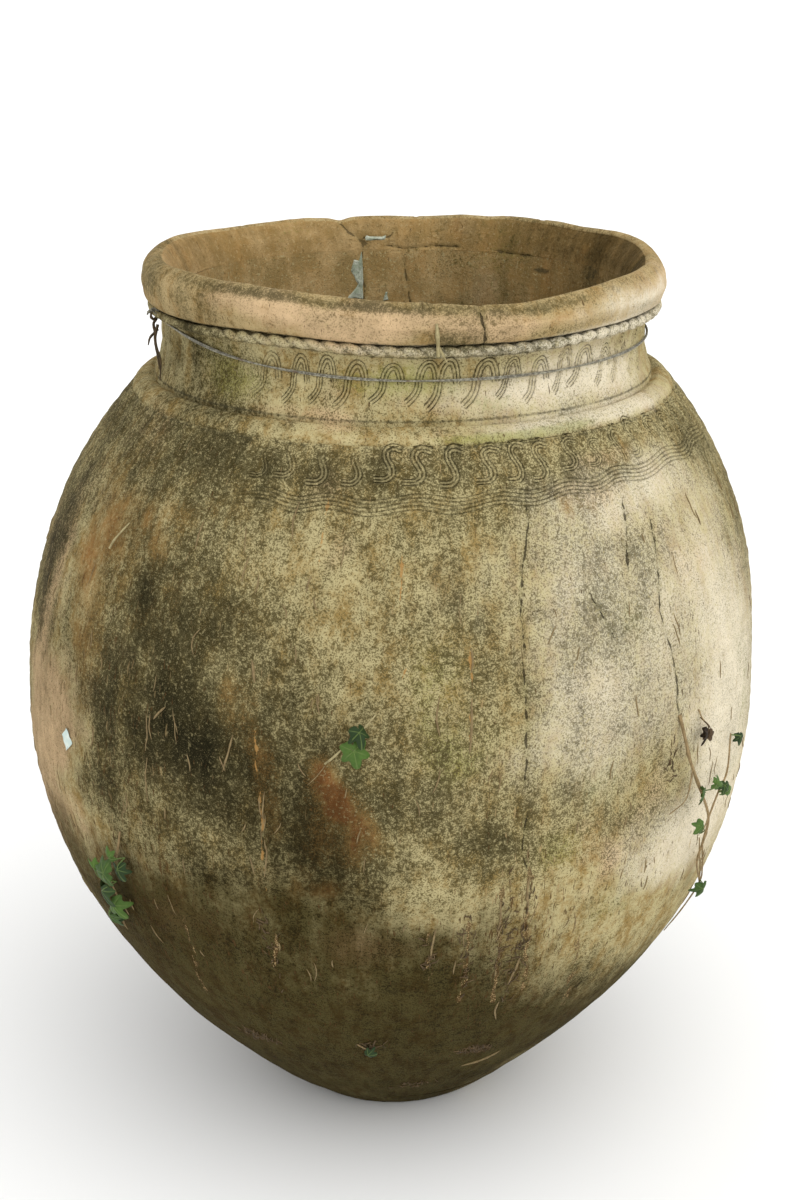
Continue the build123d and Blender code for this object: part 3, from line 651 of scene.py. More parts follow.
def clay_ring(name, section, columns, shift_relief=None, on_wall=False):
    """A ring of clay from a section of (radius, height, side) points, worn and painted."""
    r, z, side = (np.array(values, float) for values in zip(*section))
    normal_r, normal_z = section_normals(r, z)
    if on_wall:
        tilt = slope(z)
        normal_r, normal_z = side / np.hypot(1, tilt), -side * tilt / np.hypot(1, tilt)
    in_throat = (side < 0) & (r < THROAT_TOP + 0.0005)
    normal_r, normal_z = np.where(in_throat, -1.0, normal_r), np.where(in_throat, 0.0, normal_z)
    azimuth = np.linspace(-180, 180, columns, endpoint=False)
    grid_a, grid_r = np.meshgrid(azimuth, r)
    grid_z = np.repeat(z[:, None], columns, axis=1)
    plain = around(grid_a, grid_r, grid_z)
    comb, comb_on = comb_field(grid_a, grid_z, plain)
    outer = paint_outside(grid_a, grid_z, plain)
    inner = paint_inside(grid_a, grid_z, plain)
    out = side[:, None] > 0
    comb_on = np.where(out, comb_on, 0)
    paint = {key: np.where(out, outer[key], inner[key]) for key in outer}
    relief_out = outside_relief(grid_a, grid_z, plain, outer, comb_groove(comb, comb_on))
    relief_in = inside_relief(grid_a, grid_z, plain, inner)
    relief = np.where(out, relief_out, relief_in) * np.abs(side[:, None])
    grid_z = grid_z + relief * normal_z[:, None]
    grid_r = grid_r + relief * normal_r[:, None]
    if shift_relief is not None:
        grid_r, grid_z = shift_relief(grid_a, grid_r, grid_z, plain)
    grid_z = grid_z + uneven(grid_a, grid_z)
    points = around(grid_a, grid_r, grid_z)
    piece = new_mesh(name, points.reshape(-1, 3), ring_faces(len(r), columns, True))
    paint["comb"] = np.clip(comb, -0.03, 0.03) / COMB_STEP
    paint["comb_on"] = comb_on
    paint["inside"] = np.where(out, 0.0, 1.0) + 0 * grid_a
    run = np.concatenate([[3.0], 3.0 + np.cumsum(np.hypot(np.diff(r), np.diff(z)))])
    arc = (arc_length(z) if on_wall else run)[:, None]
    dress(piece, paint, grid_a, BELLY_RADIUS if on_wall else float(r.mean()), arc)
    return piece


def wall_section(rows, inner_rows):
    """Section of a wall stage: up the outside, in over the top joint, down the inside."""
    outside = [(outer_radius(z), z, OUTSIDE) for z in rows]
    inside = [(inner_radius(z), z, INSIDE) for z in inner_rows[::-1]]
    return outside + inside


def stage(name, low, high, step, columns):
    """One stage of the body's wall, with rows a step apart."""
    heights = []
    z = low
    while z < high - 1e-6:
        heights.append(z)
        z += step / math.hypot(1, float(slope(z)))
    if high - heights[-1] < 0.4 * step:
        heights.pop()
    rows = np.array(heights + [high])
    return clay_ring(name, wall_section(rows, spread(low, high, INNER_STEP)), columns, on_wall=True)


def shoulder():
    """The top stage, with finer rows where it is combed."""
    plain = spread(SHOULDER_FROM, 0.958, 0.0062)
    combed = spread(0.958, BODY_TOP, 0.00125)[1:]
    rows = np.concatenate([plain, combed])
    inner_rows = spread(SHOULDER_FROM, BODY_TOP, INNER_STEP)
    return clay_ring("shoulder_clay", wall_section(rows, inner_rows), COLLAR_COLUMNS, on_wall=True)


def foot():
    """The slab that the jar was started on: a closed disc with worn edges."""
    columns = 360
    azimuth = np.linspace(-180, 180, columns, endpoint=False)
    floor = [(radius, 0.0, JOINT) for radius in (0.03, 0.06, 0.09, 0.12, 0.138)]
    worn = [(z, 0.003 * math.exp(-z / 0.003)) for z in spread(0.0005, FOOT_TOP, 0.003)]
    side = [(float(outer_radius(z)) - loss, z, OUTSIDE) for z, loss in worn]
    top = [(radius, FOOT_TOP, JOINT) for radius in (0.16, 0.12, 0.08, 0.03)]
    r, z, kind = (np.array(values, float) for values in zip(*(floor + [(0.145, 0.0, JOINT)] + side + top)))
    grid_a, grid_r = np.meshgrid(azimuth, r)
    grid_z = np.repeat(z[:, None], columns, axis=1)
    plain = around(grid_a, grid_r, grid_z)
    paint = paint_outside(grid_a, grid_z, plain)
    relief = outside_relief(grid_a, grid_z, plain, paint, 0) * (kind[:, None] > 0)
    points = around(grid_a, grid_r + relief, grid_z).reshape(-1, 3)
    count = len(points)
    points = np.vstack([points, [[0, 0, 0], [0, 0, FOOT_TOP]]])
    faces = [tuple(face) for face in ring_faces(len(r), columns, False).tolist()]
    last = (len(r) - 1) * columns
    faces += [(count, (i + 1) % columns, i) for i in range(columns)]
    faces += [(count + 1, last + i, last + (i + 1) % columns) for i in range(columns)]
    piece = new_mesh("foot_clay", points, faces)
    paint.update(no_combing(grid_z))
    whole = {key: np.append(paint[key].ravel(), [paint[key][0, 0], paint[key][-1, 0]]) for key in FIELDS}
    arc = np.repeat(arc_length(z)[:, None] + 0.10 - r[:, None] * (kind[:, None] == 0), columns, axis=1)
    dress(piece, whole, np.append(grid_a.ravel(), [0, 0]), BELLY_RADIUS, np.append(arc.ravel(), [0, 0]))
    return piece


def neck_outline(z):
    """Outside radius of the collar."""
    heights = (RIDGE_TOP, 1.062, 1.078, 1.092, 1.110, 1.118, ROPE_FOOT, 1.15)
    radii = (NECK_ROOT, 0.3245, 0.3190, NECK_WAIST, NECK_WAIST, 0.3185, NECK_FLARE, NECK_FLARE)
    return np.interp(z, heights, radii)


def throat_radius(z):
    """Inside radius of the collar, which opens a little towards the rim."""
    return np.interp(z, (*THROAT_HEIGHTS, THROAT_JOINT), (NECK_INNER, NECK_INNER + 0.001, THROAT_TOP))


def neck():
    """The waisted collar between ridge and rim."""
    rows = np.concatenate([spread(BODY_TOP, RIDGE_TOP, 0.006),
                           spread(RIDGE_TOP, ROPE_FOOT + 0.003, 0.0014)[1:],
                           spread(ROPE_FOOT + 0.003, ROPE_TOP, 0.003)[1:]])
    smoothed = [float(np.mean(neck_outline(z + np.array([-0.004, -0.002, 0, 0.002, 0.004])))) for z in rows]
    outside = [(r, z, OUTSIDE if RIDGE_TOP < z < ROPE_FOOT + 0.004 else 0.3) for r, z in zip(smoothed, rows)]
    throat = [(NECK_INNER + 0.030 * (1 - math.sin(a)), BODY_TOP + 0.045 * (1 - math.cos(a)), INSIDE)
              for a in np.linspace(0.1, math.pi / 2, 6)]
    levels = spread(BODY_TOP + 0.048, THROAT_JOINT, 0.0045)[1:]
    straight = [(float(throat_radius(z)), z, INSIDE) for z in levels]
    inside = (throat + straight)[::-1]
    return clay_ring("neck_clay", outside + inside + [(NECK_INNER + 0.0298, BODY_TOP + 0.0001, JOINT)],
                     COLLAR_COLUMNS)


def crest_warp(azimuth, r, z, points):
    """The hand-rolled rim: a crest that rises and dips, and two chips."""
    high = smooth(ROPE_TOP, RIM_TOP, z)
    wave = 0.0022 * np.sin(np.radians(azimuth * 3 + 20)) + 0.0016 * np.sin(np.radians(azimuth * 7 + 80))
    wave = wave + 0.0022 * LUMPS(points * np.array([1, 1, 0]) + 3, 0.07)
    for middle, width, depth in ((-163, 2.2, 0.004), (158, 5, 0.0025), (15.4, 1.0, 0.0015), (78, 3, 0.003)):
        away = aside_from(azimuth, middle)
        wave = wave - depth * np.exp(-(away / width) ** 2)
    swell = 0.0025 * LUMPS(points * np.array([1, 1, 0.4]) + 8, 0.12)
    return r + swell * high, z + wave * high


def rim():
    """The thick rolled lip."""
    knots = [(0.3225, ROPE_TOP + 0.0004), (0.333, ROPE_TOP + 0.002), (0.3385, ROPE_TOP + 0.010),
             (RIM_RADIUS, ROPE_TOP + 0.025), (0.3395, ROPE_TOP + 0.040), (0.334, RIM_TOP - 0.0085),
             (0.322, RIM_TOP), (0.311, RIM_TOP - 0.005), (RIM_LIP, RIM_TOP - 0.015), (0.298, RIM_TOP - 0.026),
             (0.2938, RIM_TOP - 0.038), (THROAT_TOP, ROPE_TOP + 0.0145)]
    outline = catmull(np.array(knots), 6)
    crown = int(np.argmax(outline[:, 1]))
    section = [(r, z, OUTSIDE if i < crown + 4 else INSIDE) for i, (r, z) in enumerate(outline)]
    section += [(THROAT_TOP, THROAT_JOINT, INSIDE), (0.305, ROPE_TOP + 0.0072, JOINT),
                (NECK_FLARE, ROPE_TOP, JOINT)]
    return clay_ring("rim_clay", section, RIM_COLUMNS, crest_warp)


def ridge():
    """The coil pressed into the corner of neck and shoulder, finger-smoothed and a little uneven."""
    reach = NECK_SEAT_RADIUS - 0.002
    knots = np.array([(reach + 0.0005, BODY_TOP - 0.001), (reach - 0.003, BODY_TOP + 0.005),
                      (0.3515, BODY_TOP + 0.011),
                      (0.3440, BODY_TOP + 0.0160), (0.3375, RIDGE_TOP + 0.0002), (0.3320, RIDGE_TOP - 0.0012),
                      (NECK_ROOT - 0.001, RIDGE_TOP - 0.003)])
    outline = catmull(knots, 7)
    section = [(r, z, OUTSIDE) for r, z in outline]
    section += [(NECK_ROOT - 0.001, BODY_TOP + 0.008, JOINT), (NECK_ROOT - 0.001, BODY_TOP - 0.001, JOINT)]
    return clay_ring("ridge_clay", section, RIM_COLUMNS)


# ---------------------------------------------------------------- rope
TWIST_PITCH = 0.0235


def rope():
    """The clay cord under the rim: twisted strands, worn away on the left and beaded on the right."""
    columns, rows = 2000, 22
    azimuth = np.linspace(-180, 180, columns, endpoint=False)
    turn = np.linspace(-0.62 * math.pi, 0.62 * math.pi, rows)
    grid_a, grid_t = np.meshgrid(azimuth, turn)
    middle_z = (ROPE_FOOT + ROPE_TOP) / 2 - 0.0004
    ring_r = ROPE_RADIUS - 0.0068
    along = np.radians(grid_a) * ROPE_RADIUS
    base = around(grid_a, ring_r + 0 * grid_t, middle_z + 0 * grid_t)
    left_wear = smooth(-38, -50, grid_a) * smooth(-110, -85, grid_a)
    right_bead = smooth(22, 40, grid_a) * smooth(110, 85, grid_a)
    lay = 0.0150 * (1 - 1.15 * right_bead)
    phase = (along + lay * grid_t / math.pi + 0.004 * LUMPS(base + 3, 0.06)) / TWIST_PITCH
    lobes = np.abs(np.sin(math.pi * phase)) ** 1.25
    depth = 0.0040 * (1 - 0.80 * left_wear) * (0.85 + 0.25 * PATCHES(base, 0.05))
    size = 0.0071 - depth * (1 - lobes) + 0.0005 * LUMPS(base + 1, 0.02)
    size = size - 0.0016 * left_wear
    r = ring_r + size * np.cos(grid_t) * 1.05
    z = middle_z + size * np.sin(grid_t) + 0.0009 * LUMPS(base + 6, 0.09)
    back_r = NECK_FLARE - 0.004
    grid_r = np.vstack([r, np.full((2, columns), back_r)])
    grid_z = np.vstack([z, np.full((1, columns), ROPE_TOP - 0.001), np.full((1, columns), ROPE_FOOT + 0.001)])
    grid_a = np.vstack([grid_a, azimuth[None], azimuth[None]])
    paint_z = grid_z
    grid_z = grid_z + uneven(grid_a, grid_z)
    points = around(grid_a, grid_r, grid_z)
    piece = new_mesh("rope_clay", points.reshape(-1, 3), ring_faces(rows + 2, columns, True), 1.3)
    paint = paint_outside(grid_a, paint_z, points)
    # The valleys between the strands are painted dark: soil and painted shade.
    valley = np.vstack([1 - lobes, np.ones((2, columns))])
    paint["soil_and_shade"] = 0.50 * smooth(0.45, 1.0, valley) * (1 - 0.7 * np.vstack([left_wear, left_wear[:2]]))
    paint["lichen"] = paint["lichen"] + 0.26 + 0.25 * PATCHES(points, 0.07)
    paint["moss"] = paint["moss"] + 0.18
    paint.update(no_combing(grid_z))
    dress(piece, paint, grid_a, ROPE_RADIUS, grid_z)
    return piece


# ---------------------------------------------------------------- shader helper
class Shader:
    """Builds one node material."""

    def __init__(self, name):
        self.material = bpy.data.materials.new(name)
        self.material.use_nodes = True
        self.tree = self.material.node_tree
        self.tree.nodes.clear()
        self.out = self.tree.nodes.new("ShaderNodeOutputMaterial")
        self.surface = self.tree.nodes.new("ShaderNodeBsdfPrincipled")
        self.tree.links.new(self.surface.outputs[0], self.out.inputs[0])
        self.coords = self.tree.nodes.new("ShaderNodeTexCoord").outputs["Object"]

    def plug(self, value, socket):
        if isinstance(value, bpy.types.NodeSocket):
            self.tree.links.new(value, socket)
        elif isinstance(value, (tuple, list)) and len(value) == 3 and socket.type == "RGBA":
            socket.default_value = (*value, 1)
        else:
            socket.default_value = value

    def set(self, name, value):
        self.plug(value, self.surface.inputs[name])

    def finish(self, colour, normal, roughness, specular=None):
        """Sets what most materials set, and gives the material back."""
        self.set("Base Color", colour)
        self.set("Normal", normal)
        self.set("Roughness", roughness)
        if specular is not None:
            self.set("Specular IOR Level", specular)
        return self.material

    def math(self, operation, a, b=0.0, c=0.0):
        node = self.tree.nodes.new("ShaderNodeMath")
        node.operation = operation
        for value, socket in zip((a, b, c), node.inputs):
            self.plug(value, socket)
        return node.outputs[0]

    def add(self, *values):
        total = values[0]
        for value in values[1:]:
            total = self.math("ADD", total, value)
        return total

    def times(self, a, b):
        return self.math("MULTIPLY", a, b)

    def vary(self, noise, amount):
        """A noise moved to either side of nought."""
        return self.times(self.add(noise, -0.5), amount)

    def step(self, low, high, value, smooth_edge=True):
        node = self.tree.nodes.new("ShaderNodeMapRange")
        node.interpolation_type = "SMOOTHSTEP" if smooth_edge else "LINEAR"
        self.plug(value, node.inputs["Value"])
        node.inputs["From Min"].default_value = low
        node.inputs["From Max"].default_value = high
        return node.outputs["Result"]

    def mix(self, factor, a, b, blend="MIX"):
        node = self.tree.nodes.new("ShaderNodeMix")
        node.data_type = "RGBA"
        node.blend_type = blend
        node.clamp_factor = True
        self.plug(factor, node.inputs[0])
        self.plug(a, node.inputs[6])
        self.plug(b, node.inputs[7])
        return node.outputs[2]

    def field(self, name):
        node = self.tree.nodes.new("ShaderNodeAttribute")
        node.attribute_name = name
        return node.outputs["Fac"]

    def stretch(self, x, y, z, coords=None):
        node = self.tree.nodes.new("ShaderNodeMapping")
        node.inputs["Scale"].default_value = (x, y, z)
        self.tree.links.new(coords or self.coords, node.inputs["Vector"])
        return node.outputs[0]

    def wrapped(self, across, along):
        """The wrapping place, scaled round the jar and along its surface."""
        node = self.tree.nodes.new("ShaderNodeAttribute")
        node.attribute_name = "wrap"
        return self.stretch(across, across, along, node.outputs["Vector"])

    def noise(self, scale, detail=3.0, rough=0.5, vector=None):
        node = self.tree.nodes.new("ShaderNodeTexNoise")
        node.inputs["Scale"].default_value = scale
        node.inputs["Detail"].default_value = detail
        node.inputs["Roughness"].default_value = rough
        self.tree.links.new(vector or self.coords, node.inputs["Vector"])
        return node.outputs["Fac"]

    def bump(self, height, distance, strength=1.0, under=None):
        node = self.tree.nodes.new("ShaderNodeBump")
        node.inputs["Distance"].default_value = distance
        node.inputs["Strength"].default_value = strength
        self.tree.links.new(height, node.inputs["Height"])
        if under is not None:
            self.tree.links.new(under, node.inputs["Normal"])
        return node.outputs[0]


# ---------------------------------------------------------------- clay material
CREAM = (0.455, 0.388, 0.203)
OCHRE = (0.280, 0.185, 0.062)
RUSTY_OCHRE = (0.315, 0.185, 0.060)
PEACH_CLAY = (0.580, 0.410, 0.235)
PALE_CLAY = (0.705, 0.630, 0.480)
RIM_CLAY = (0.432, 0.324, 0.162)
RIM_OCHRE = (0.320, 0.200, 0.075)
FILM = (0.108, 0.098, 0.032)
GREY_FILM = (0.180, 0.188, 0.118)
SPECK_LIGHT = (0.130, 0.100, 0.036)
SPECK_DARK = (0.015, 0.014, 0.005)
YELLOW_MOSS = (0.250, 0.260, 0.062)
ORANGE = (0.270, 0.105, 0.032)
INSIDE_DARK = (0.228, 0.142, 0.046)
INSIDE_LIGHT = (0.470, 0.325, 0.150)
DARK_CRACK = (0.022, 0.016, 0.009)
RUN_ORANGE = (0.360, 0.200, 0.065)
BROWN = (0.075, 0.040, 0.014)
SCAB_TAN = (0.430, 0.310, 0.150)
DAMP_AND_SHADE_TINT = (0.118, 0.108, 0.056)
GROOVE_DIRT = (0.056, 0.050, 0.022)
SOIL_AND_SHADE = (0.050, 0.044, 0.022)


def clay_noises(s):
    """The noises that all layers of the clay share, from the broadest to the finest."""
    return SimpleNamespace(big=s.noise(8, 4, 0.55), mid=s.noise(30, 5, 0.6),
                           upright=s.noise(1, 4, 0.6, s.wrapped(42, 24)),
                           wash=s.noise(1, 5, 0.65, s.wrapped(56, 6)),
                           fine=s.noise(170, 4, 0.65), grit=s.noise(520, 3, 0.6), speck=s.noise(900, 2, 0.6),
                           patchy=s.noise(75, 3, 0.6))


def bare_clay(s, n, bare, ochre):
    """The fired surface: ochre, peach and pale patches, the inside's own colours, rust and moss."""
    colour = s.mix(s.step(0.42, 0.64, s.add(s.times(n.upright, 0.65), s.times(n.fine, 0.35))), bare, ochre)
    colour = s.mix(s.step(0.25, 0.85, s.add(s.field("peach"), s.vary(n.mid, 0.9))), colour, PEACH_CLAY)
    pale = s.add(s.field("pale"), s.vary(n.wash, 0.5), s.vary(n.mid, 0.5), s.vary(n.fine, 0.7))
    colour = s.mix(s.step(0.15, 1.0, pale), colour, PALE_CLAY)
    mottle = s.add(s.times(n.upright, 0.35), s.times(n.mid, 0.35), s.times(n.big, 0.30))
    inside = s.mix(s.step(0.43, 0.60, mottle), INSIDE_DARK, INSIDE_LIGHT)
    colour = s.mix(s.times(s.field("inside"), 0.85), colour, inside)
    rusty = s.add(s.field("rust"), s.vary(n.upright, 1.1), s.vary(n.fine, 0.7))
    colour = s.mix(s.times(s.step(0.20, 0.80, rusty), 0.62), colour, RUSTY_OCHRE)
    colour = s.mix(s.times(s.step(0.62, 1.10, rusty), 0.75), colour, ORANGE)
    mossy = s.add(s.field("moss"), s.vary(n.fine, 1.4), s.vary(n.mid, 0.7))
    return s.mix(s.times(s.step(0.25, 0.95, mossy), 0.60), colour, YELLOW_MOSS), rusty


def lichen_film(s, n, colour, rusty, bare, speckle):
    """A dark film with specks of lichen, which rust glows through, and flecks of bare clay."""
    cover = s.add(s.field("lichen"), s.vary(n.mid, 0.60), s.vary(n.big, 0.65), s.vary(n.wash, 0.28))
    density = s.step(0.0, 1.0, cover, False)
    film = s.mix(s.step(0.1, 0.6, s.field("pale")), FILM, GREY_FILM)
    colour = s.mix(s.times(density, 0.60), colour, film)
    speck_colour = s.mix(density, SPECK_LIGHT, SPECK_DARK)
    coarse = s.step(-0.025, 0.030, s.add(n.fine, s.times(density, 0.30), -0.68))
    small = s.step(-0.030, 0.040, s.add(n.grit, s.times(density, 0.25), -0.600))
    quiet = s.add(1.0, s.times(s.step(0.1, 0.7, s.field("pale")), -0.28))
    colour = s.mix(s.times(s.times(small, 0.80 * speckle), quiet), colour, speck_colour)
    colour = s.mix(s.times(s.times(coarse, 0.74 * speckle), quiet), colour, speck_colour)
    glow = s.times(s.step(0.55, 1.15, s.add(rusty, s.vary(n.grit, 2.6))), 0.62)
    colour = s.mix(glow, colour, s.mix(s.step(0.9, 1.2, rusty), RUSTY_OCHRE, ORANGE))
    flecks = s.times(s.step(0.585, 0.65, n.speck), 0.38)
    flecks = s.add(flecks, s.times(s.step(0.62, 0.66, s.noise(250, 2, 0.5)), 0.45))
    return s.mix(flecks, colour, bare), coarse


def dashes(s, along, rough, shape, offset):
    """Short upright marks, more of them where the clay is scarred."""
    marks = s.noise(1, 2, rough, s.wrapped(*shape))
    return s.step(0.0, 0.035, s.add(marks, s.times(s.field("scar"), along), offset))


def run_core(s, name, noise, width):
    """The middle of a run, a little wider where the noise is high."""
    away = s.times(s.math("ABSOLUTE", s.field(name)), -1.0)
    return s.add(noise, width, away)


def damp_shade_and_runs(s, n, colour):
    """Tan scabs, the damp and painted shade that darken them, then orange and brown runs and dark scabs on
    top.
    """
    tan_dash = dashes(s, 0.11, 0.5, (280, 36), -0.71)
    colour = s.mix(s.times(tan_dash, 0.55), colour, SCAB_TAN)
    damp_and_shade = s.add(s.field("damp_and_shade"), s.vary(n.big, 0.60), s.vary(n.wash, 0.5), s.vary(n.mid, 0.45),
                 s.vary(n.fine, 0.35))
    # Damp and painted shade: darker towards the foot, on the left and on the rim's inner slope.
    colour = s.mix(s.times(s.step(-0.1, 1.0, damp_and_shade), 0.97), colour, DAMP_AND_SHADE_TINT, "MULTIPLY")
    orange = s.step(0.0, 0.06, run_core(s, "orange_run", s.vary(n.patchy, 1.0), 0.06))
    colour = s.mix(s.times(s.times(orange, s.field("orange_on")), 0.75), colour, RUN_ORANGE)
    scab = s.noise(1, 3, 0.6, s.wrapped(170, 44))
    brown = s.step(0.0, 0.08, run_core(s, "brown_run", s.vary(scab, 2.8), 0.12))
    brown = s.times(brown, s.field("brown_on"))
    colour = s.mix(s.times(brown, 0.80), colour, s.mix(s.step(0.50, 0.60, n.grit), BROWN, SCAB_TAN))
    dark_dash = dashes(s, 0.12, 0.6, (330, 58), -0.700)
    return s.mix(s.times(dark_dash, 0.80), colour, BROWN), s.add(dark_dash, tan_dash, brown)


def cracks_and_combing(s, n, colour, bare):
    """Dark cracks in a stained edge, then combed grooves with dirt in them, then soil and painted shade in
    the corners, the rope's valleys and the holes inside.
    """
    crack = s.step(0.0, 0.05, run_core(s, "crack", s.vary(n.patchy, 0.85), 0.066))
    crack = s.times(crack, s.field("crack_on"))
    near = s.step(0.55, 0.0, s.math("ABSOLUTE", s.field("crack")))
    colour = s.mix(s.times(s.times(near, s.field("crack_on")), 0.22), colour, FILM)
    colour = s.mix(s.times(crack, 0.78), colour, DARK_CRACK)
    ripple = s.math("COSINE", s.times(s.field("comb"), 2 * math.pi))
    groove = s.step(0.40, 1.00, s.add(ripple, s.vary(n.fine, 1.2)))
    groove = s.times(groove, s.step(0.25, 0.8, s.field("comb_on")))
    crest = s.times(s.step(0.30, -0.70, ripple), s.step(0.5, 0.9, s.field("comb_on")))
    colour = s.mix(s.times(crest, 0.34), colour, bare)
    colour = s.mix(s.times(groove, s.add(0.50, s.vary(n.mid, 1.6))), colour, GROOVE_DIRT)
    # Soil and painted shade: the corners at ridge and rope, the rope's valleys and the holes inside are
    # darkened.
    dirt_and_shade = s.step(0.20, 0.85, s.add(s.field("soil_and_shade"), s.vary(n.fine, 1.3), s.vary(n.mid, 0.6)))
    return s.mix(s.times(dirt_and_shade, 0.75), colour, SOIL_AND_SHADE), crack, groove


def clay(name, bare, ochre, speckle=1.0):
    """Old fired clay: its own colours, then lichen, damp with painted shade, and runs, and last cracks,
    combing, and soil with painted shade.
    """
    s = Shader(name)
    n = clay_noises(s)
    colour, rusty = bare_clay(s, n, bare, ochre)
    colour, coarse = lichen_film(s, n, colour, rusty, bare, speckle)
    colour, scabs = damp_shade_and_runs(s, n, colour)
    colour, crack, groove = cracks_and_combing(s, n, colour, bare)
    height = s.add(s.times(n.mid, 0.9), s.times(n.fine, 0.8), s.times(n.grit, 0.4), s.times(coarse, 0.10),
                   s.times(groove, -0.7), s.times(crack, -1.4), s.times(scabs, 0.30))
    return s.finish(colour, s.bump(height, 0.0022, 0.85, s.bump(n.speck, 0.0004, 0.5)),
                    s.add(0.82, s.times(n.grit, 0.16)), 0.05)


# ---------------------------------------------------------------- small things: tubes and rods
def tube(route, radii, sides):
    """Points and faces of a closed tube along a route."""
    route = np.array(route, float)
    radii = np.broadcast_to(np.array(radii, float), (len(route),))
    ahead = np.gradient(route, axis=0)
    ahead /= np.linalg.norm(ahead, axis=1)[:, None]
    side = np.cross(ahead[0], [0.31, 0.52, 0.79])
    side /= np.linalg.norm(side)
    angles = np.linspace(0, 2 * math.pi, sides, endpoint=False)
    points = []
    for place, direction, radius in zip(route, ahead, radii):
        side = side - direction * (side @ direction)
        side /= np.linalg.norm(side)
        up = np.cross(direction, side)
        points.append(place + radius * (np.cos(angles)[:, None] * side + np.sin(angles)[:, None] * up))
    points = np.vstack(points + [route[:1], route[-1:]])
    faces = [tuple(face) for face in ring_faces(len(route), sides, False).tolist()]
    first, last = len(points) - 2, len(points) - 1
    end = (len(route) - 1) * sides
    faces += [(first, (i + 1) % sides, i) for i in range(sides)]
    faces += [(last, end + i, end + (i + 1) % sides) for i in range(sides)]
    return points, faces


def gather(name, parts, crease=1.0):
    """One mesh object from several closed shapes."""
    points, faces, count = [], [], 0
    for shape_points, shape_faces in parts:
        points.append(shape_points)
        faces += [tuple(index + count for index in face) for face in shape_faces]
        count += len(shape_points)
    return new_mesh(name, np.vstack(points), faces, crease)


def wall_frame(azimuth, z):
    """On the outside of the jar: the place, straight out, level right and up the slope."""
    turn = math.radians(azimuth)
    radius, rise = float(outer_radius(z)), float(slope(z))
    place = np.array([radius * math.sin(turn) + float(lean(z)), -radius * math.cos(turn), z])
    out = np.array([math.sin(turn), -math.cos(turn), -rise]) / math.hypot(1, rise)
    right = np.array([math.cos(turn), math.sin(turn), 0])
    return place, out, right, np.cross(out, right)


def off_wall(azimuth, z, lift):
    place, out, _, _ = wall_frame(azimuth, z)
    return place + out * lift


def smooth_route(places, per_span=8):
    return catmull(np.array([off_wall(a, z, lift) for a, z, lift in places]), per_span)


def knotted(count, base, tip, seed):
    """Radii of a stem that thins towards its tip and swells at its nodes."""
    rng = np.random.default_rng(seed)
    share = np.linspace(0, 1, count)
    radii = base + (tip - base) * share
    for node in rng.uniform(0.08, 0.95, max(2, count // 9)):
        radii = radii * (1 + 0.28 * np.exp(-((share - node) * count / 1.6) ** 2))
    return radii * rng.normal(1, 0.03, count)


def stem(places, base, tip, seed):
    """A stem along (azimuth, height, lift) places."""
    route = smooth_route(places)
    rng = np.random.default_rng(seed + 50)
    route = route + np.cumsum(rng.normal(0, base * 0.05, route.shape), axis=0) * 0.5
    return tube(route, knotted(len(route), base, tip, seed), 9)


# ---------------------------------------------------------------- ivy
def ivy_outline(angle):
    """Radius of a five-lobed leaf at an angle from its tip, with the stalk at the middle."""
    turn = np.abs((angle + np.pi) % (2 * np.pi) - np.pi)
    lobes = [(0.0, 1.0, 0.40), (0.98, 0.80, 0.36), (2.05, 0.64, 0.48)]
    radius = 0.52 + 0 * turn
    for middle, size, width in lobes:
        radius = np.maximum(radius, 0.42 + (size - 0.42) * np.exp(-np.abs((turn - middle) / width) ** 1.9))
    return radius * (1 - 0.55 * np.exp(-((turn - np.pi) / 0.22) ** 2))


def ivy_leaf(foot, along, out, length, curl, seed):
    """One leaf blade: lobed, cupped and creased along its veins. Returns points, faces and vein strength."""
    rng = np.random.default_rng(seed)
    rings, spokes = 9, 54
    fold, twist = rng.uniform(0.15, 0.55), rng.uniform(-0.5, 0.5)
    angle = np.linspace(-np.pi, np.pi, spokes, endpoint=False)
    rho = np.linspace(0, 1, rings + 1)[1:]
    edge = ivy_outline(angle) * (1 + 0.05 * np.sin(angle * 5 + rng.uniform(0, 6)))
    grid_rho, grid_angle = np.meshgrid(rho, angle, indexing="ij")
    radius = grid_rho * edge[None, :]
    x, y = radius * np.sin(grid_angle), radius * np.cos(grid_angle)
    vein = np.zeros(x.shape)
    for middle in (0.0, 0.98, -0.98, 2.05, -2.05):
        away = np.abs(x * math.cos(middle) - y * math.sin(middle))
        ahead = x * math.sin(middle) + y * math.cos(middle)
        vein = np.maximum(vein, np.exp(-(away / 0.035) ** 2) * (ahead > 0))
    wave = 0.05 * np.sin(grid_angle * 3 + rng.uniform(0, 6)) * grid_rho ** 2
    wave = wave + 0.03 * np.sin(grid_angle * 7) * grid_rho ** 3
    height = -curl * radius ** 2 - fold * np.abs(x) ** 1.4 + twist * x * y + wave - 0.035 * vein + 0.02
    along = along / np.linalg.norm(along)
    across = np.cross(along, out)
    across /= np.linalg.norm(across)
    up = np.cross(across, along)
    flat = np.stack([x.ravel(), y.ravel(), height.ravel()], axis=1)
    flat = np.vstack([flat, [0, 0, 0.0]])
    top = foot + length * (flat[:, :1] * across + flat[:, 1:2] * along + flat[:, 2:] * up)
    bottom = top - up * 0.00045
    count = len(top)
    faces = []
    for ring in range(rings - 1):
        for spoke in range(spokes):
            following = (spoke + 1) % spokes
            a, b = ring * spokes + spoke, ring * spokes + following
            faces.append((a, b, b + spokes, a + spokes))
            faces.append((a + spokes + count, b + spokes + count, b + count, a + count))
    for spoke in range(spokes):
        following = (spoke + 1) % spokes
        faces.append((count - 1, following, spoke))
        faces.append((2 * count - 1, spoke + count, following + count))
        a, b = (rings - 1) * spokes + spoke, (rings - 1) * spokes + following
        faces.append((a, b, b + count, a + count))
    veins = np.concatenate([vein.ravel(), [1.0]])
    return np.vstack([top, bottom]), faces, np.concatenate([veins, veins])


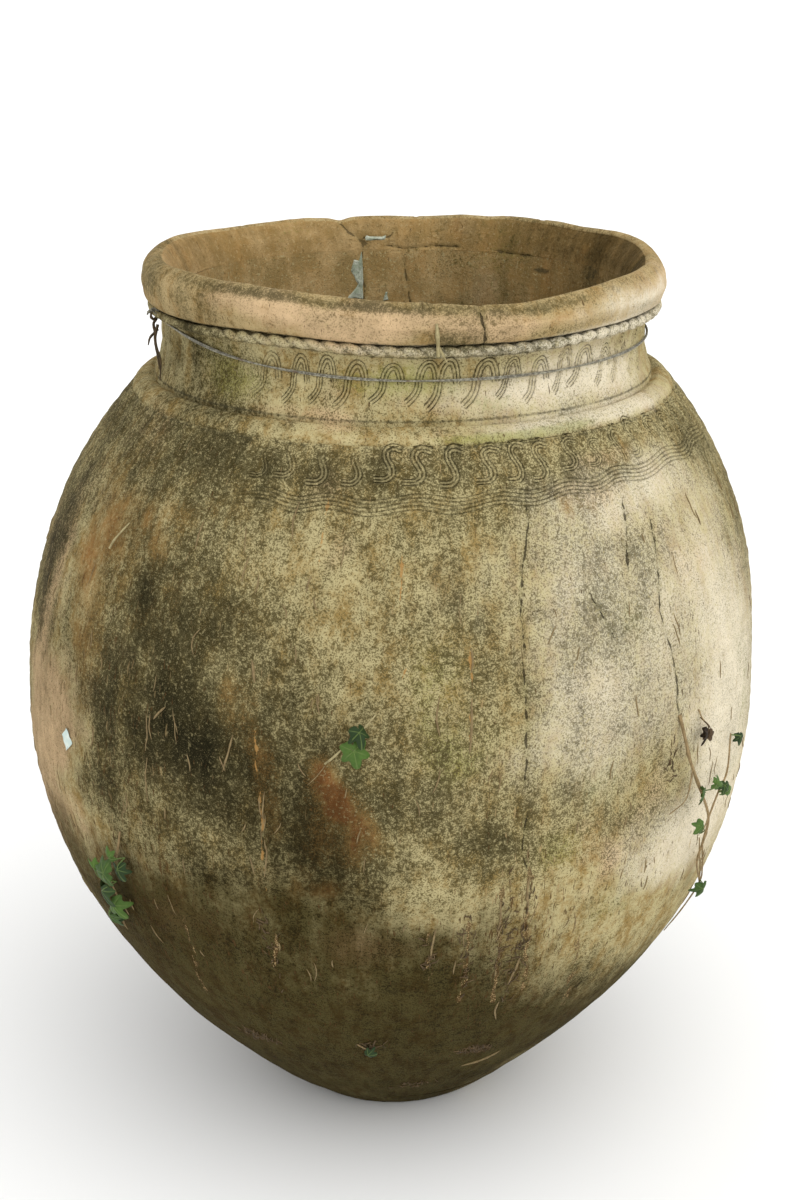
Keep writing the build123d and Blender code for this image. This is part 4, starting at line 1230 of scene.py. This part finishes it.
def leaf_cluster(name, specs, seed, growth=1.0):
    """Leaves on their stalks; each spec says where the stalk starts, where the blade is, its size, turn,
    how far its tip stands off, and how much it faces aside."""
    parts, veins = [], []
    for index, (stalk, blade, length, turn, tip_lift, face_aside) in enumerate(specs):
        place, out, right, up = wall_frame(blade[0], blade[1])
        foot = place + out * blade[2]
        angle = math.radians(turn)
        along = -up * math.cos(angle) + right * math.sin(angle) + out * tip_lift
        facing = out + right * face_aside + up * 0.25
        points, faces, vein = ivy_leaf(foot, along, facing, length * growth, 0.42, seed + index)
        parts.append((points, faces))
        veins.append(vein)
        start = off_wall(*stalk)
        middle = (start + foot) / 2 + out * 0.25 * np.linalg.norm(foot - start) + up * 0.001
        route = catmull(np.array([start, middle, foot]), 6)
        shape = tube(route, np.linspace(0.00085, 0.0006, len(route)), 7)
        parts.append(shape)
        veins.append(np.full(len(shape[0]), 0.9))
    piece = gather(name, parts, 1.6)
    tone = np.concatenate([np.full(len(v), (i * 0.37) % 1.0) for i, v in enumerate(veins)])
    for key, values in (("vein", np.concatenate(veins)), ("tone", tone)):
        attribute = piece.data.attributes.new(key, "FLOAT", "POINT")
        attribute.data.foreach_set("value", values.astype(np.float32))
    return piece


def leaf_material(name, dark, light, vein_colour, rough):
    """Leathery leaf with paler veins and blotches."""
    s = Shader(name)
    blotch = s.noise(180, 5, 0.65)
    mottled = s.noise(700, 4, 0.7)
    tone = s.add(s.field("tone"), s.times(s.add(blotch, -0.5), 0.9))
    colour = s.mix(s.step(0.0, 1.0, tone), dark, light)
    colour = s.mix(s.times(s.step(0.25, 0.9, s.field("vein")), 0.6), colour, vein_colour)
    colour = s.mix(s.times(s.step(0.60, 0.72, mottled), 0.35), colour, dark)
    relief = s.add(s.times(mottled, 0.5), s.times(s.field("vein"), -0.8))
    return s.finish(colour, s.bump(relief, 0.0006, 0.7), s.add(rough, s.times(mottled, 0.2)), 0.25)


def bark_material(name, light, dark):
    """Dry stem: fibres along the stem, peeling grey and brown."""
    s = Shader(name)
    fibre = s.noise(1, 5, 0.65, s.stretch(900, 900, 110))
    blotch = s.noise(120, 4, 0.6)
    colour = s.mix(s.step(0.32, 0.68, s.add(s.times(fibre, 0.6), s.times(blotch, 0.4))), dark, light)
    return s.finish(colour, s.bump(fibre, 0.0006, 0.9), s.add(0.62, s.times(blotch, 0.3)), 0.25)


def wire_material():
    """Dull galvanised wire with white bloom and brown spots."""
    s = Shader("dull_wire")
    s.set("Metallic", 0.1)
    bloom = s.noise(260, 5, 0.7)
    spot = s.noise(70, 4, 0.65)
    colour = s.mix(s.step(0.40, 0.62, bloom), (0.115, 0.105, 0.075), (0.31, 0.295, 0.225))
    colour = s.mix(s.times(s.step(0.56, 0.66, spot), 0.75), colour, (0.12, 0.07, 0.035))
    return s.finish(colour, s.bump(bloom, 0.0003, 0.6), s.add(0.42, s.times(bloom, 0.3)))


def mortar_material():
    """Lime mortar with sand grains and grey-green stain."""
    s = Shader("old_mortar")
    grain = s.noise(850, 4, 0.75)
    stain = s.noise(70, 5, 0.6)
    colour = s.mix(s.step(0.35, 0.65, stain), (0.26, 0.30, 0.21), (0.50, 0.52, 0.42))
    colour = s.mix(s.times(s.step(0.58, 0.66, grain), 0.7), colour, (0.16, 0.16, 0.12))
    relief = s.add(grain, s.times(stain, 0.6))
    return s.finish(colour, s.bump(relief, 0.0016, 0.9), s.add(0.85, s.times(grain, 0.1)), 0.2)


def paper_material():
    """Faded pale-blue paper with a damp stain and fibres."""
    s = Shader("faded_label")
    fibre = s.noise(900, 4, 0.7)
    stain = s.noise(95, 4, 0.6)
    colour = s.mix(s.step(0.42, 0.62, stain), (0.50, 0.62, 0.58), (0.66, 0.72, 0.64))
    colour = s.mix(s.times(s.step(0.58, 0.68, stain), 0.5), colour, (0.20, 0.36, 0.40))
    colour = s.mix(s.times(fibre, 0.15), colour, (0.75, 0.76, 0.68))
    return s.finish(colour, s.bump(fibre, 0.0002, 0.6), s.add(0.72, s.times(fibre, 0.15)), 0.3)


# ---------------------------------------------------------------- thin sheets
def sheet_faces(rows, columns):
    """Faces of a sheet whose back points follow its front points, with its edge closed."""
    count = rows * columns
    grid = np.arange(count).reshape(rows, columns)
    quads = np.stack([grid[:-1, :-1], grid[:-1, 1:], grid[1:, 1:], grid[1:, :-1]], axis=-1).reshape(-1, 4)
    faces = [tuple(face) for face in quads.tolist()]
    faces += [tuple(reversed([index + count for index in face])) for face in quads.tolist()]
    border = list(grid[0]) + list(grid[1:, -1]) + list(grid[-1, -2::-1]) + list(grid[-2:0:-1, 0])
    for a, b in zip(border, border[1:] + border[:1]):
        faces.append((int(b), int(a), int(a) + count, int(b) + count))
    return faces


# ---------------------------------------------------------------- wire
def wire_level(azimuth):
    """Height of the wire round the neck: it climbs to its twisted ends at the left."""
    away = aside_from(azimuth, WIRE_TWIST_AZIMUTH)
    climb = 0.024 * np.exp(-np.abs(away / 26) ** 1.4)
    return WIRE_HEIGHT + climb + 0.004 * (1 - np.cos(np.radians(azimuth - 10))) / 2


WIRE_RADIUS = 0.00105
WIRE_STAND_OFF = 0.0026
STRAND_OFFSET = 0.0009
TAIL_LENGTH = 0.019


def tie_wire():
    """Two thin strands that run side by side round the neck, then twist into a tail."""
    azimuth = np.linspace(-68, 288, 700)
    level = wire_level(azimuth)
    surface = neck_outline(level)
    level = level + uneven(aside_from(azimuth), level)
    parts = []
    for strand in (0, 1):
        turn = np.radians(azimuth) * 5 + math.pi * strand
        radius = surface + WIRE_STAND_OFF + STRAND_OFFSET * np.cos(turn)
        height = level + STRAND_OFFSET * np.sin(turn)
        parts.append(tube(around(azimuth, radius, height), WIRE_RADIUS, 7))
    start_level = float(wire_level(WIRE_TWIST_AZIMUTH)) + float(uneven(WIRE_TWIST_AZIMUTH, 1.12))
    start = around(np.array(-69.0), np.array(neck_outline(1.120) + 0.0025), np.array(start_level))
    tail_turn = math.radians(KNOT_AZIMUTH)
    outward = np.array([math.sin(tail_turn), -math.cos(tail_turn), 0])
    share = np.linspace(0, 1, 60)[:, None]
    spine = start + outward * TAIL_LENGTH * share ** 1.3 + np.array([0, 0, 0.016]) * np.sin(share * 2.2)
    spine = spine + np.array([-0.002, -0.012, 0]) * share ** 2
    for strand in (0, 1):
        turn = share * 2 * math.pi * 4.5 + math.pi * strand
        offset = 0.0015 * (np.cos(turn) * np.array([0, 0, 1]) + np.sin(turn) * np.cross(outward, [0, 0, 1]))
        parts.append(tube(spine + offset, 0.00115, 7))
    loop = np.linspace(0, 1.7 * math.pi, 26)
    downward = np.array([0.2, 0.1, -1.0])
    curl = spine[30] + 0.006 * (np.cos(loop)[:, None] * outward + np.sin(loop)[:, None] * downward)
    parts.append(tube(curl, 0.0010, 7))
    return gather("tie_wire_strands", parts)


# ---------------------------------------------------------------- mortar
def inside_surface(z):
    """Inside radius of neck and rim."""
    heights = (*THROAT_HEIGHTS, 1.152, 1.162, 1.174, 1.185)
    return np.interp(z, heights, (NECK_INNER, NECK_INNER + 0.001, THROAT_TOP, 0.2938, 0.298, RIM_LIP))


def filler(name, middle, level, width, height, outline, proud=0.0016):
    """A pat of mortar inside the mouth; outline gives its edge as shares of its half sizes."""
    columns, rows = 60, 110 if height > width else 50
    u = np.linspace(-0.62, 0.62, columns) * width
    v = np.linspace(-0.62, 0.62, rows) * height
    grid_u, grid_v = np.meshgrid(u, v)
    azimuth = middle - np.degrees(grid_u / NECK_INNER)
    z = level + grid_v
    radius = inside_surface(z)
    points = around(azimuth, radius, z)
    best = np.full(grid_u.shape, 1.0)
    inside = np.zeros(grid_u.shape, bool)
    corners = [(x * width / 2, y * height / 2) for x, y in outline]
    for (x0, y0), (x1, y1) in zip(corners, corners[1:] + corners[:1]):
        away, _, _, _ = segment_distance(grid_u, grid_v, (x0, y0), (x1, y1))
        best = np.minimum(best, away)
        crosses = (y0 > grid_v) != (y1 > grid_v)
        at = (x1 - x0) * (grid_v - y0) / (y1 - y0 if y1 != y0 else 1e-9) + x0
        inside ^= crosses & (grid_u < at)
    signed = np.where(inside, best, -best) + 0.0014 * EDGES(points, 0.008)
    stand = np.where(signed > 0, proud * smooth(0, 0.002, signed), -0.004 * smooth(0, 0.0025, -signed))
    grains = 0.0007 * EDGES(points + 4, 0.007) + 0.0004 * EDGES(points + 5, 0.003)
    stand = stand + grains * smooth(0, 0.002, signed) - 0.0003
    z = z + uneven(aside_from(azimuth), z)
    front = around(azimuth, radius - stand + inside_relief(azimuth, z, points, PLAIN) * -1, z)
    back = around(azimuth, radius + 0.008, z)
    return new_mesh(name, np.vstack([front.reshape(-1, 3), back.reshape(-1, 3)]), sheet_faces(rows, columns),
                    1.6)


# ---------------------------------------------------------------- label
LABEL_AZIMUTH = -54.7
LABEL_HEIGHT = 0.631
LABEL_SIDE = 0.0200


def paper_label():
    """A small square of paper on one corner, one edge lifting and a fold across it."""
    side, count = LABEL_SIDE, 26
    _, out, _, _ = wall_frame(LABEL_AZIMUTH, LABEL_HEIGHT)
    share = np.linspace(-0.5, 0.5, count)
    grid_u, grid_v = np.meshgrid(share, share)
    turn = math.radians(40)
    x = (grid_u * math.cos(turn) - grid_v * math.sin(turn)) * side
    y = (grid_u * math.sin(turn) + grid_v * math.cos(turn)) * side * 1.12
    lift = 0.0009 + 0.0022 * smooth(0.2, 0.5, grid_u) * smooth(0.0, 0.5, grid_v)
    lift = lift + 0.0005 * np.sin(grid_v * 9 + 1)
    lift = lift + 0.0005 * np.abs(grid_u + 0.1) - 1.0 * (x ** 2)
    azimuth = LABEL_AZIMUTH + np.degrees(x / BELLY_RADIUS)
    z = LABEL_HEIGHT + y
    base = around(azimuth, outer_radius(z), z)
    relief = outside_relief(azimuth, z, base, PLAIN, 0)
    top = base + out * (lift + relief)[..., None]
    bottom = top - out * 0.0003
    return new_mesh("label_sheet", np.vstack([top.reshape(-1, 3), bottom.reshape(-1, 3)]),
                    sheet_faces(count, count), 1.2)


# ---------------------------------------------------------------- rootlets and straws
def surface_point(azimuth, z, lift):
    """A point on the worn outside, in arrays."""
    base = around(azimuth, outer_radius(z), z)
    relief = outside_relief(azimuth, z, base, PLAIN, 0)
    turn = np.radians(azimuth)
    rise = slope(z)
    out = np.stack([np.sin(turn), -np.cos(turn), -rise], axis=-1) / np.hypot(1, rise)[..., None]
    return base + out * (relief + lift)[..., None]


# Longer rootlets that stand out: (azimuth, height) places along each, and half its width.
PLACED_ROOTLETS = [
    ([(-36.1, 0.713), (-35.8, 0.690), (-36.2, 0.665)], 0.0009),
    ([(-35.9, 0.657), (-36.3, 0.630), (-36.0, 0.598)], 0.0009),
    ([(-17.1, 0.645), (-17.4, 0.620), (-17.2, 0.600)], 0.0010),
    ([(-17.2, 0.582), (-17.0, 0.560), (-17.5, 0.530)], 0.0011),
    ([(-21.9, 0.710), (-22.4, 0.690), (-23.3, 0.662)], 0.0013),
    ([(-32.8, 0.728), (-33.8, 0.719), (-34.7, 0.709)], 0.0014),
    ([(-20.0, 0.802), (-19.6, 0.790), (-19.2, 0.776)], 0.0016),
    ([(-8.3, 0.690), (-9.7, 0.672), (-11.0, 0.660)], 0.0006),
    ([(6.3, 0.770), (6.0, 0.745), (6.6, 0.722)], 0.0012),
    ([(20.2, 0.530), (20.0, 0.505), (20.5, 0.478)], 0.0015),
    ([(20.6, 0.400), (20.2, 0.380), (19.6, 0.352)], 0.0015),
    ([(18.9, 0.320), (18.7, 0.302), (19.6, 0.280)], 0.0014),
    ([(6.8, 0.465), (6.4, 0.440), (6.2, 0.418)], 0.0014),
    ([(16.0, 0.500), (16.3, 0.470), (16.0, 0.450)], 0.0013),
    ([(10.6, 0.765), (10.8, 0.735), (10.7, 0.700)], 0.0015),
    ([(10.5, 0.822), (10.7, 0.808), (10.5, 0.795)], 0.0013),
    ([(-16.9, 0.972), (-17.3, 0.955), (-16.8, 0.935)], 0.0009),
    ([(25.6, 0.184), (21.6, 0.166), (17.0, 0.160)], 0.0016),
]


ROOTLET_COUNT = 300


def rootlets():
    """Dead ivy rootlets still glued to the clay, thin and short, most of them upright."""
    rng = np.random.default_rng(21)
    parts = []
    for places, width in PLACED_ROOTLETS:
        route = catmull(np.array(places), 6)
        share = np.linspace(-1, 1, len(route))
        radii = width * (1 - 0.7 * np.abs(share) ** 3) * rng.uniform(0.8, 1.2, len(route))
        parts.append(tube(surface_point(route[:, 0], route[:, 1], width * 0.4), radii, 6))
    for _ in range(ROOTLET_COUNT):
        middle = rng.uniform(-180, 180)
        level = rng.uniform(0.36, 0.93)
        length = rng.uniform(0.010, 0.034)
        tilt = rng.normal(0, 0.24)
        share = np.linspace(-0.5, 0.5, 9)
        bend = rng.normal(0, 0.07) * share ** 2 * length * 4
        radius = float(outer_radius(level))
        azimuth = middle + np.degrees((share * length * math.sin(tilt) + bend) / radius)
        z = level + share * length * math.cos(tilt)
        width = rng.uniform(0.0005, 0.0010)
        radii = width * (1 - 0.75 * np.abs(share * 2) ** 3)
        parts.append(tube(surface_point(azimuth, z, width * 0.45), radii, 6))
    return gather("dry_rootlets", parts)


# Clots of earth and dead roots: azimuth, height, half width in degrees, half height, how many roots.
CLOTS = [(-28.7, 0.220, 4.0, 0.010, 60), (18.8, 0.203, 4.5, 0.010, 60), (-4.0, 0.236, 3.0, 0.008, 26),
         (6.0, 0.105, 6.0, 0.012, 24),
         (20.0, 0.40, 1.6, 0.10, 46), (17.0, 0.44, 1.2, 0.07, 30), (11.6, 0.41, 1.0, 0.06, 26),
         (6.0, 0.425, 0.9, 0.035, 20),
         (-18.0, 0.42, 1.4, 0.06, 20), (44.0, 0.62, 1.5, 0.03, 16), (120.0, 0.21, 9.0, 0.012, 70),
         (-130.0, 0.24, 8.0, 0.012, 60)]


def clots():
    """Matted clots of dead roots: short crooked strands lying on the clay."""
    rng = np.random.default_rng(33)
    parts = []
    for middle, level, half_width, half_height, count in CLOTS:
        for _ in range(count):
            azimuth = middle + rng.normal(0, half_width * 0.45)
            z = level + rng.normal(0, half_height * 0.5)
            radius = float(outer_radius(z))
            heading = rng.normal(math.pi / 2, 0.45)
            steps = rng.uniform(0.0012, 0.0028)
            turns = heading + np.cumsum(rng.normal(0, 0.35, 6))
            along = np.cumsum(steps * np.cos(turns))
            up = np.cumsum(steps * np.sin(turns))
            width = rng.uniform(0.0004, 0.0010)
            lift = width * 0.4 + rng.uniform(0, 0.0014) * np.sin(np.linspace(0, math.pi, 6))
            radii = width * np.array([0.5, 0.9, 1.1, 1.0, 0.8, 0.4])
            parts.append(tube(surface_point(azimuth + np.degrees(along / radius), z + up, lift), radii, 5))
    return gather("root_clots", parts)


def straw(places, base, tip, seed):
    """A straight dry stalk through points in space."""
    route = catmull(np.array(places), 7)
    return tube(route, knotted(len(route), base, tip, seed), 7)


# ---------------------------------------------------------------- build the jar
clay_body = clay("weathered_clay", CREAM, OCHRE)
clay_rim = clay("worn_rim_clay", RIM_CLAY, RIM_OCHRE, 0.62)

def finish_piece(piece, material, slot, *nodes):
    """Gives a piece its material and its body, and hides the CAD nodes that it stands for. The slot is not
    used.
    """
    piece.data.materials.append(material)
    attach(piece, "root")
    if nodes:
        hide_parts(*nodes)


finish_piece(foot(), clay_body, "terracotta", "foot_slab")
finish_piece(stage("lower_clay", FOOT_TOP, BELLY_FROM, 0.0052, 800), clay_body, "terracotta", "lower_wall")
finish_piece(stage("belly_clay", BELLY_FROM, SHOULDER_FROM, 0.0036, 1000), clay_body, "terracotta",
             "belly_wall")
finish_piece(shoulder(), clay_body, "terracotta", "shoulder_wall")
finish_piece(neck(), clay_body, "terracotta", "neck")
finish_piece(ridge(), clay_body, "terracotta", "neck_ridge")
finish_piece(rope(), clay_body, "terracotta", "rope_moulding")
finish_piece(rim(), clay_rim, "terracotta_rim", "rim")

finish_piece(tie_wire(), wire_material(), "wire", "tie_wire")

mortar = mortar_material()
TALL = [(1, -1), (1, 0.5), (0.85, 1.0), (0.45, 0.62), (-0.2, 0.66), (-0.7, 0.15), (0.25, -0.38),
        (-0.35, -0.62), (-1, -0.85), (-1, -1)]
SLOT = [(-1, -0.9), (0.9, -0.55), (1, 0.9), (0.6, 0.3), (-0.8, 0.75)]
PATCH = [(-0.9, -1), (1, -0.9), (0.7, 0.2), (0.9, 1), (-0.4, 0.9), (-0.7, -0.2)]
finish_piece(filler("filler_tall", -166, 1.117, 0.022, 0.066, TALL), mortar, "mortar", "crack_filler_tall")
finish_piece(filler("filler_slot", -172, 1.169, 0.030, 0.009, SLOT), mortar, "mortar", "crack_filler_slot")
finish_piece(filler("filler_patch", -175, 1.087, 0.009, 0.015, PATCH), mortar, "mortar", "crack_filler_patch")
finish_piece(paper_label(), paper_material(), "label_paper", "paper_label")

bark = bark_material("dry_bark", (0.36, 0.26, 0.13), (0.13, 0.085, 0.035))
dark_bark = bark_material("dark_bark", (0.10, 0.065, 0.028), (0.022, 0.015, 0.008))
straw_skin = bark_material("pale_straw", (0.42, 0.36, 0.19), (0.20, 0.16, 0.07))
green = leaf_material("ivy_leaf_green", (0.012, 0.030, 0.005), (0.062, 0.125, 0.016), (0.12, 0.17, 0.045),
                      0.50)
withered = leaf_material("withered_leaf", (0.018, 0.012, 0.007), (0.075, 0.045, 0.020), (0.10, 0.06, 0.03),
                         0.75)

LEFT_STEM = [(-42.3, 0.540, 0.001), (-42.6, 0.512, 0.010), (-45.5, 0.470, 0.014), (-48.5, 0.425, 0.012),
             (-51.0, 0.390, 0.004)]
CENTRE_STEM = [(-8.6, 0.689, 0.001), (-7.4, 0.700, 0.009), (-5.5, 0.718, 0.012), (-3.6, 0.735, 0.009),
               (-2.1, 0.750, 0.002)]
RIGHT_STEM = [(45.2, 0.690, 0.002), (45.9, 0.655, 0.009), (46.6, 0.627, 0.014), (48.4, 0.586, 0.022),
              (50.7, 0.544, 0.026),
              (51.3, 0.505, 0.022), (52.3, 0.469, 0.018), (58.0, 0.420, 0.014), (62.0, 0.388, 0.014)]
RIGHT_UPPER = [(60.4, 0.622, 0.006), (57.3, 0.583, 0.016), (54.0, 0.566, 0.020), (50.7, 0.544, 0.026)]
RIGHT_LOWER = [(51.3, 0.505, 0.022), (55.3, 0.451, 0.018), (58.9, 0.410, 0.014), (60.2, 0.358, 0.008),
               (62.3, 0.308, 0.003)]
BASE_STEM = [(-6.6, 0.244, 0.001), (-4.4, 0.240, 0.007)]

left_stems = [stem(LEFT_STEM, 0.0015, 0.0009, 1),
              stem([(-45.5, 0.470, 0.014), (-44.6, 0.452, 0.016), (-45.2, 0.428, 0.010),
                    (-46.5, 0.400, 0.003)], 0.0010, 0.0006, 2)]
finish_piece(gather("left_stem", left_stems), bark, "dry_stem", "ivy_stem_left")
finish_piece(gather("centre_stem", [stem(CENTRE_STEM, 0.0013, 0.0008, 3)]), straw_skin, "dry_stem",
             "ivy_stem_centre")
right_stems = [stem(RIGHT_STEM[:4], 0.0023, 0.0019, 4), stem(RIGHT_STEM[3:], 0.0018, 0.0011, 5),
               stem(RIGHT_UPPER, 0.0010, 0.0013, 6),
               stem(RIGHT_LOWER, 0.0012, 0.0007, 7),
               stem([(53.6, 0.497, 0.008), (54.4, 0.470, 0.012), (55.0, 0.452, 0.016)], 0.0009, 0.0008, 8),
               stem([(57.5, 0.450, 0.006), (58.3, 0.430, 0.010), (58.9, 0.410, 0.014)], 0.0011, 0.0008, 9),
               stem([(46.9, 0.620, 0.016), (45.2, 0.585, 0.020), (44.2, 0.560, 0.004)], 0.0008, 0.0005, 10),
               stem([(50.7, 0.544, 0.026), (49.6, 0.536, 0.028), (48.4, 0.532, 0.030)], 0.0009, 0.0007, 11)]
finish_piece(gather("right_stem", right_stems), bark, "dry_stem", "ivy_stem_right")
finish_piece(gather("base_stem", [stem(BASE_STEM, 0.0011, 0.0008, 12)]), bark, "dry_stem", "ivy_stem_base")

LEFT_LEAVES = [
    ((-40.8, 0.512, 0.010), (-41.3, 0.500, 0.022), 0.017, 15, 0.15, 0.2),
    ((-40.8, 0.512, 0.010), (-42.8, 0.512, 0.022), 0.014, -165, 0.2, -0.3),
    ((-43.7, 0.470, 0.014), (-43.6, 0.492, 0.030), 0.026, -80, 0.05, -0.2),
    ((-43.7, 0.470, 0.014), (-45.8, 0.458, 0.028), 0.027, -15, 0.10, -0.3),
    ((-43.7, 0.470, 0.014), (-46.6, 0.487, 0.026), 0.013, -120, 0.2, -0.2),
    ((-46.7, 0.425, 0.012), (-44.8, 0.436, 0.024), 0.021, 35, 0.10, 0.3),
    ((-46.7, 0.425, 0.012), (-47.8, 0.408, 0.022), 0.018, -45, 0.10, 0.0),
    ((-46.7, 0.425, 0.012), (-48.8, 0.396, 0.016), 0.015, 20, 0.15, 0.1),
]
CENTRE_LEAVES = [
    ((-5.5, 0.718, 0.012), (-4.0, 0.735, 0.022), 0.017, 20, 0.35, 0.5),
    ((-5.5, 0.718, 0.012), (-4.6, 0.713, 0.020), 0.023, 12, 0.12, 0.1),
]
RIGHT_LEAVES = [
    ((60.4, 0.620, 0.006), (62.4, 0.612, 0.014), 0.012, -20, 0.2, -0.6),
    ((48.4, 0.586, 0.022), (51.0, 0.590, 0.030), 0.013, 75, 0.4, -0.8),
    ((48.4, 0.586, 0.022), (47.6, 0.590, 0.032), 0.016, -10, 0.15, 0.9),
    ((54.0, 0.566, 0.020), (54.0, 0.578, 0.028), 0.012, -30, 0.3, -0.8),
    ((54.0, 0.566, 0.020), (55.2, 0.566, 0.028), 0.013, 35, 0.2, -0.7),
    ((48.4, 0.532, 0.030), (47.8, 0.545, 0.034), 0.015, -70, 0.15, -0.2),
    ((58.0, 0.420, 0.014), (57.4, 0.414, 0.024), 0.018, 0, 0.12, -0.5),
]
DEAD_LEAVES = [
    ((50.3, 0.674, 0.003), (50.5, 0.655, 0.014), 0.016, -10, 0.1, 0.9),
    ((50.3, 0.674, 0.003), (51.3, 0.650, 0.012), 0.013, 25, 0.2, -0.9),
]
BASE_LEAVES = [((-4.4, 0.240, 0.007), (-4.4, 0.240, 0.013), 0.013, 70, 0.1, 0.1)]
finish_piece(leaf_cluster("left_leaves", LEFT_LEAVES, 100, 1.12), green, "leaf", "ivy_leaves_left")
finish_piece(leaf_cluster("centre_leaves", CENTRE_LEAVES, 120, 1.1), green, "leaf", "ivy_leaves_centre")
finish_piece(leaf_cluster("right_leaves", RIGHT_LEAVES, 140, 1.05), green, "leaf", "ivy_leaves_right")
finish_piece(leaf_cluster("dead_leaves", DEAD_LEAVES, 160), withered, "dead_leaf", "dead_leaves_right")
finish_piece(leaf_cluster("base_leaf", BASE_LEAVES, 170), green, "leaf", "ivy_leaf_base")
finish_piece(gather("dead_stub", [stem([(50.2, 0.684, 0.001), (50.3, 0.676, 0.004), (50.35, 0.668, 0.010)],
                                       0.0010, 0.0006, 13)]),
             bark, "dry_stem", "dead_leaf_stub")

twig = straw([off_wall(-50.2, 0.884, 0.003), off_wall(-49.3, 0.897, 0.0045), off_wall(-47.7, 0.917, 0.003)],
             0.0016, 0.0009, 14)
finish_piece(gather("twig", [twig]), straw_skin, "dry_stem", "shoulder_twig")

front = math.radians(6.6)
toward = np.array([math.sin(front), -math.cos(front), 0])
aside = np.array([math.cos(front), math.sin(front), 0])
leaning = np.array([float(lean(1.15)), 0, 0])
splinter = [
    straw([leaning + toward * 0.3385 + [0, 0, 1.131],
           leaning + toward * 0.341 - aside * 0.001 + [0, 0, 1.148],
           leaning + toward * 0.3435 - aside * 0.003 + [0, 0, 1.170]], 0.0026, 0.0016, 15),
    straw([leaning + toward * 0.3405 + aside * 0.0005 + [0, 0, 1.142],
           leaning + toward * 0.3395 + aside * 0.005 + [0, 0, 1.133],
           leaning + toward * 0.3380 + aside * 0.010 + [0, 0, 1.124]], 0.0018, 0.0010, 16),
]
finish_piece(gather("splinter", splinter), straw_skin, "dry_stem", "rim_splinter")

left_turn = math.radians(KNOT_AZIMUTH)
knot = np.array([math.sin(left_turn), -math.cos(left_turn), 0]) * 0.328 + [float(lean(1.12)), 0, 1.122]
hanging = [straw([knot, knot + [-0.004, -0.004, -0.018], knot + [-0.001, -0.007, -0.040],
                  knot + [0.002, -0.006, -0.062]], 0.0021, 0.0009, 17),
           straw([knot + [-0.001, 0.002, -0.002], knot + [-0.003, -0.008, -0.020],
                  knot + [0.003, -0.012, -0.044],
                  knot + [0.001, -0.010, -0.070]], 0.0017, 0.0008, 27),
           straw([knot + [-0.004, 0, -0.010], knot + [-0.006, 0.004, 0.000], knot + [-0.001, 0.002, 0.010]],
                 0.0022, 0.0015, 28),
           straw([knot + [0, 0, -0.006], knot + [-0.010, -0.003, -0.016], knot + [-0.013, -0.004, -0.026]],
                 0.0018, 0.0008, 18),
           straw([knot + [-0.002, 0, 0.004], knot + [-0.008, -0.002, 0.010], knot + [-0.006, -0.004, 0.020]],
                 0.0020, 0.0011, 19)]
finish_piece(gather("hanging_stem", hanging), dark_bark, "dry_stem", "neck_dry_stem")
finish_piece(clots(), bark_material("clotted_roots", (0.14, 0.09, 0.04), (0.030, 0.020, 0.009)), "dry_stem")
finish_piece(rootlets(), bark_material("rootlet_skin", (0.27, 0.20, 0.095), (0.12, 0.08, 0.034)), "dry_stem")


# ---------------------------------------------------------------- floor and light
FLOOR_REACH = 300
WORLD_STRENGTH = 1.0
SKYLIGHT_STRENGTH = 1.68
SKYLIGHT_SPREAD = 72
SKYLIGHT_FROM = (0.46, -0.72, 1.10)
corners = [(-FLOOR_REACH, -FLOOR_REACH, 0), (FLOOR_REACH, -FLOOR_REACH, 0),
           (FLOOR_REACH, FLOOR_REACH, 0), (-FLOOR_REACH, FLOOR_REACH, 0)]
floor_mesh = bpy.data.meshes.new("floor")
floor_mesh.from_pydata(corners, [], [(0, 1, 2, 3)])
floor = bpy.data.objects.new("floor", floor_mesh)
bpy.context.scene.collection.objects.link(floor)
floor_shader = Shader("pale_floor")
floor_shader.set("Base Color", (0.86, 0.86, 0.85))
floor_shader.set("Roughness", 0.9)
floor.data.materials.append(floor_shader.material)

world = bpy.data.worlds.new("studio")
bpy.context.scene.world = world
world.use_nodes = True
world.node_tree.nodes["Background"].inputs[0].default_value = (1.0, 1.0, 1.0, 1)
world.node_tree.nodes["Background"].inputs[1].default_value = WORLD_STRENGTH

sky = bpy.data.objects.new("skylight", bpy.data.lights.new("skylight", "SUN"))
sky.data.energy = SKYLIGHT_STRENGTH
sky.data.angle = math.radians(SKYLIGHT_SPREAD)
sky.rotation_euler = Vector(SKYLIGHT_FROM).to_track_quat("Z", "Y").to_euler()
bpy.context.scene.collection.objects.link(sky)
bpy.context.scene.view_settings.view_transform = "Standard"
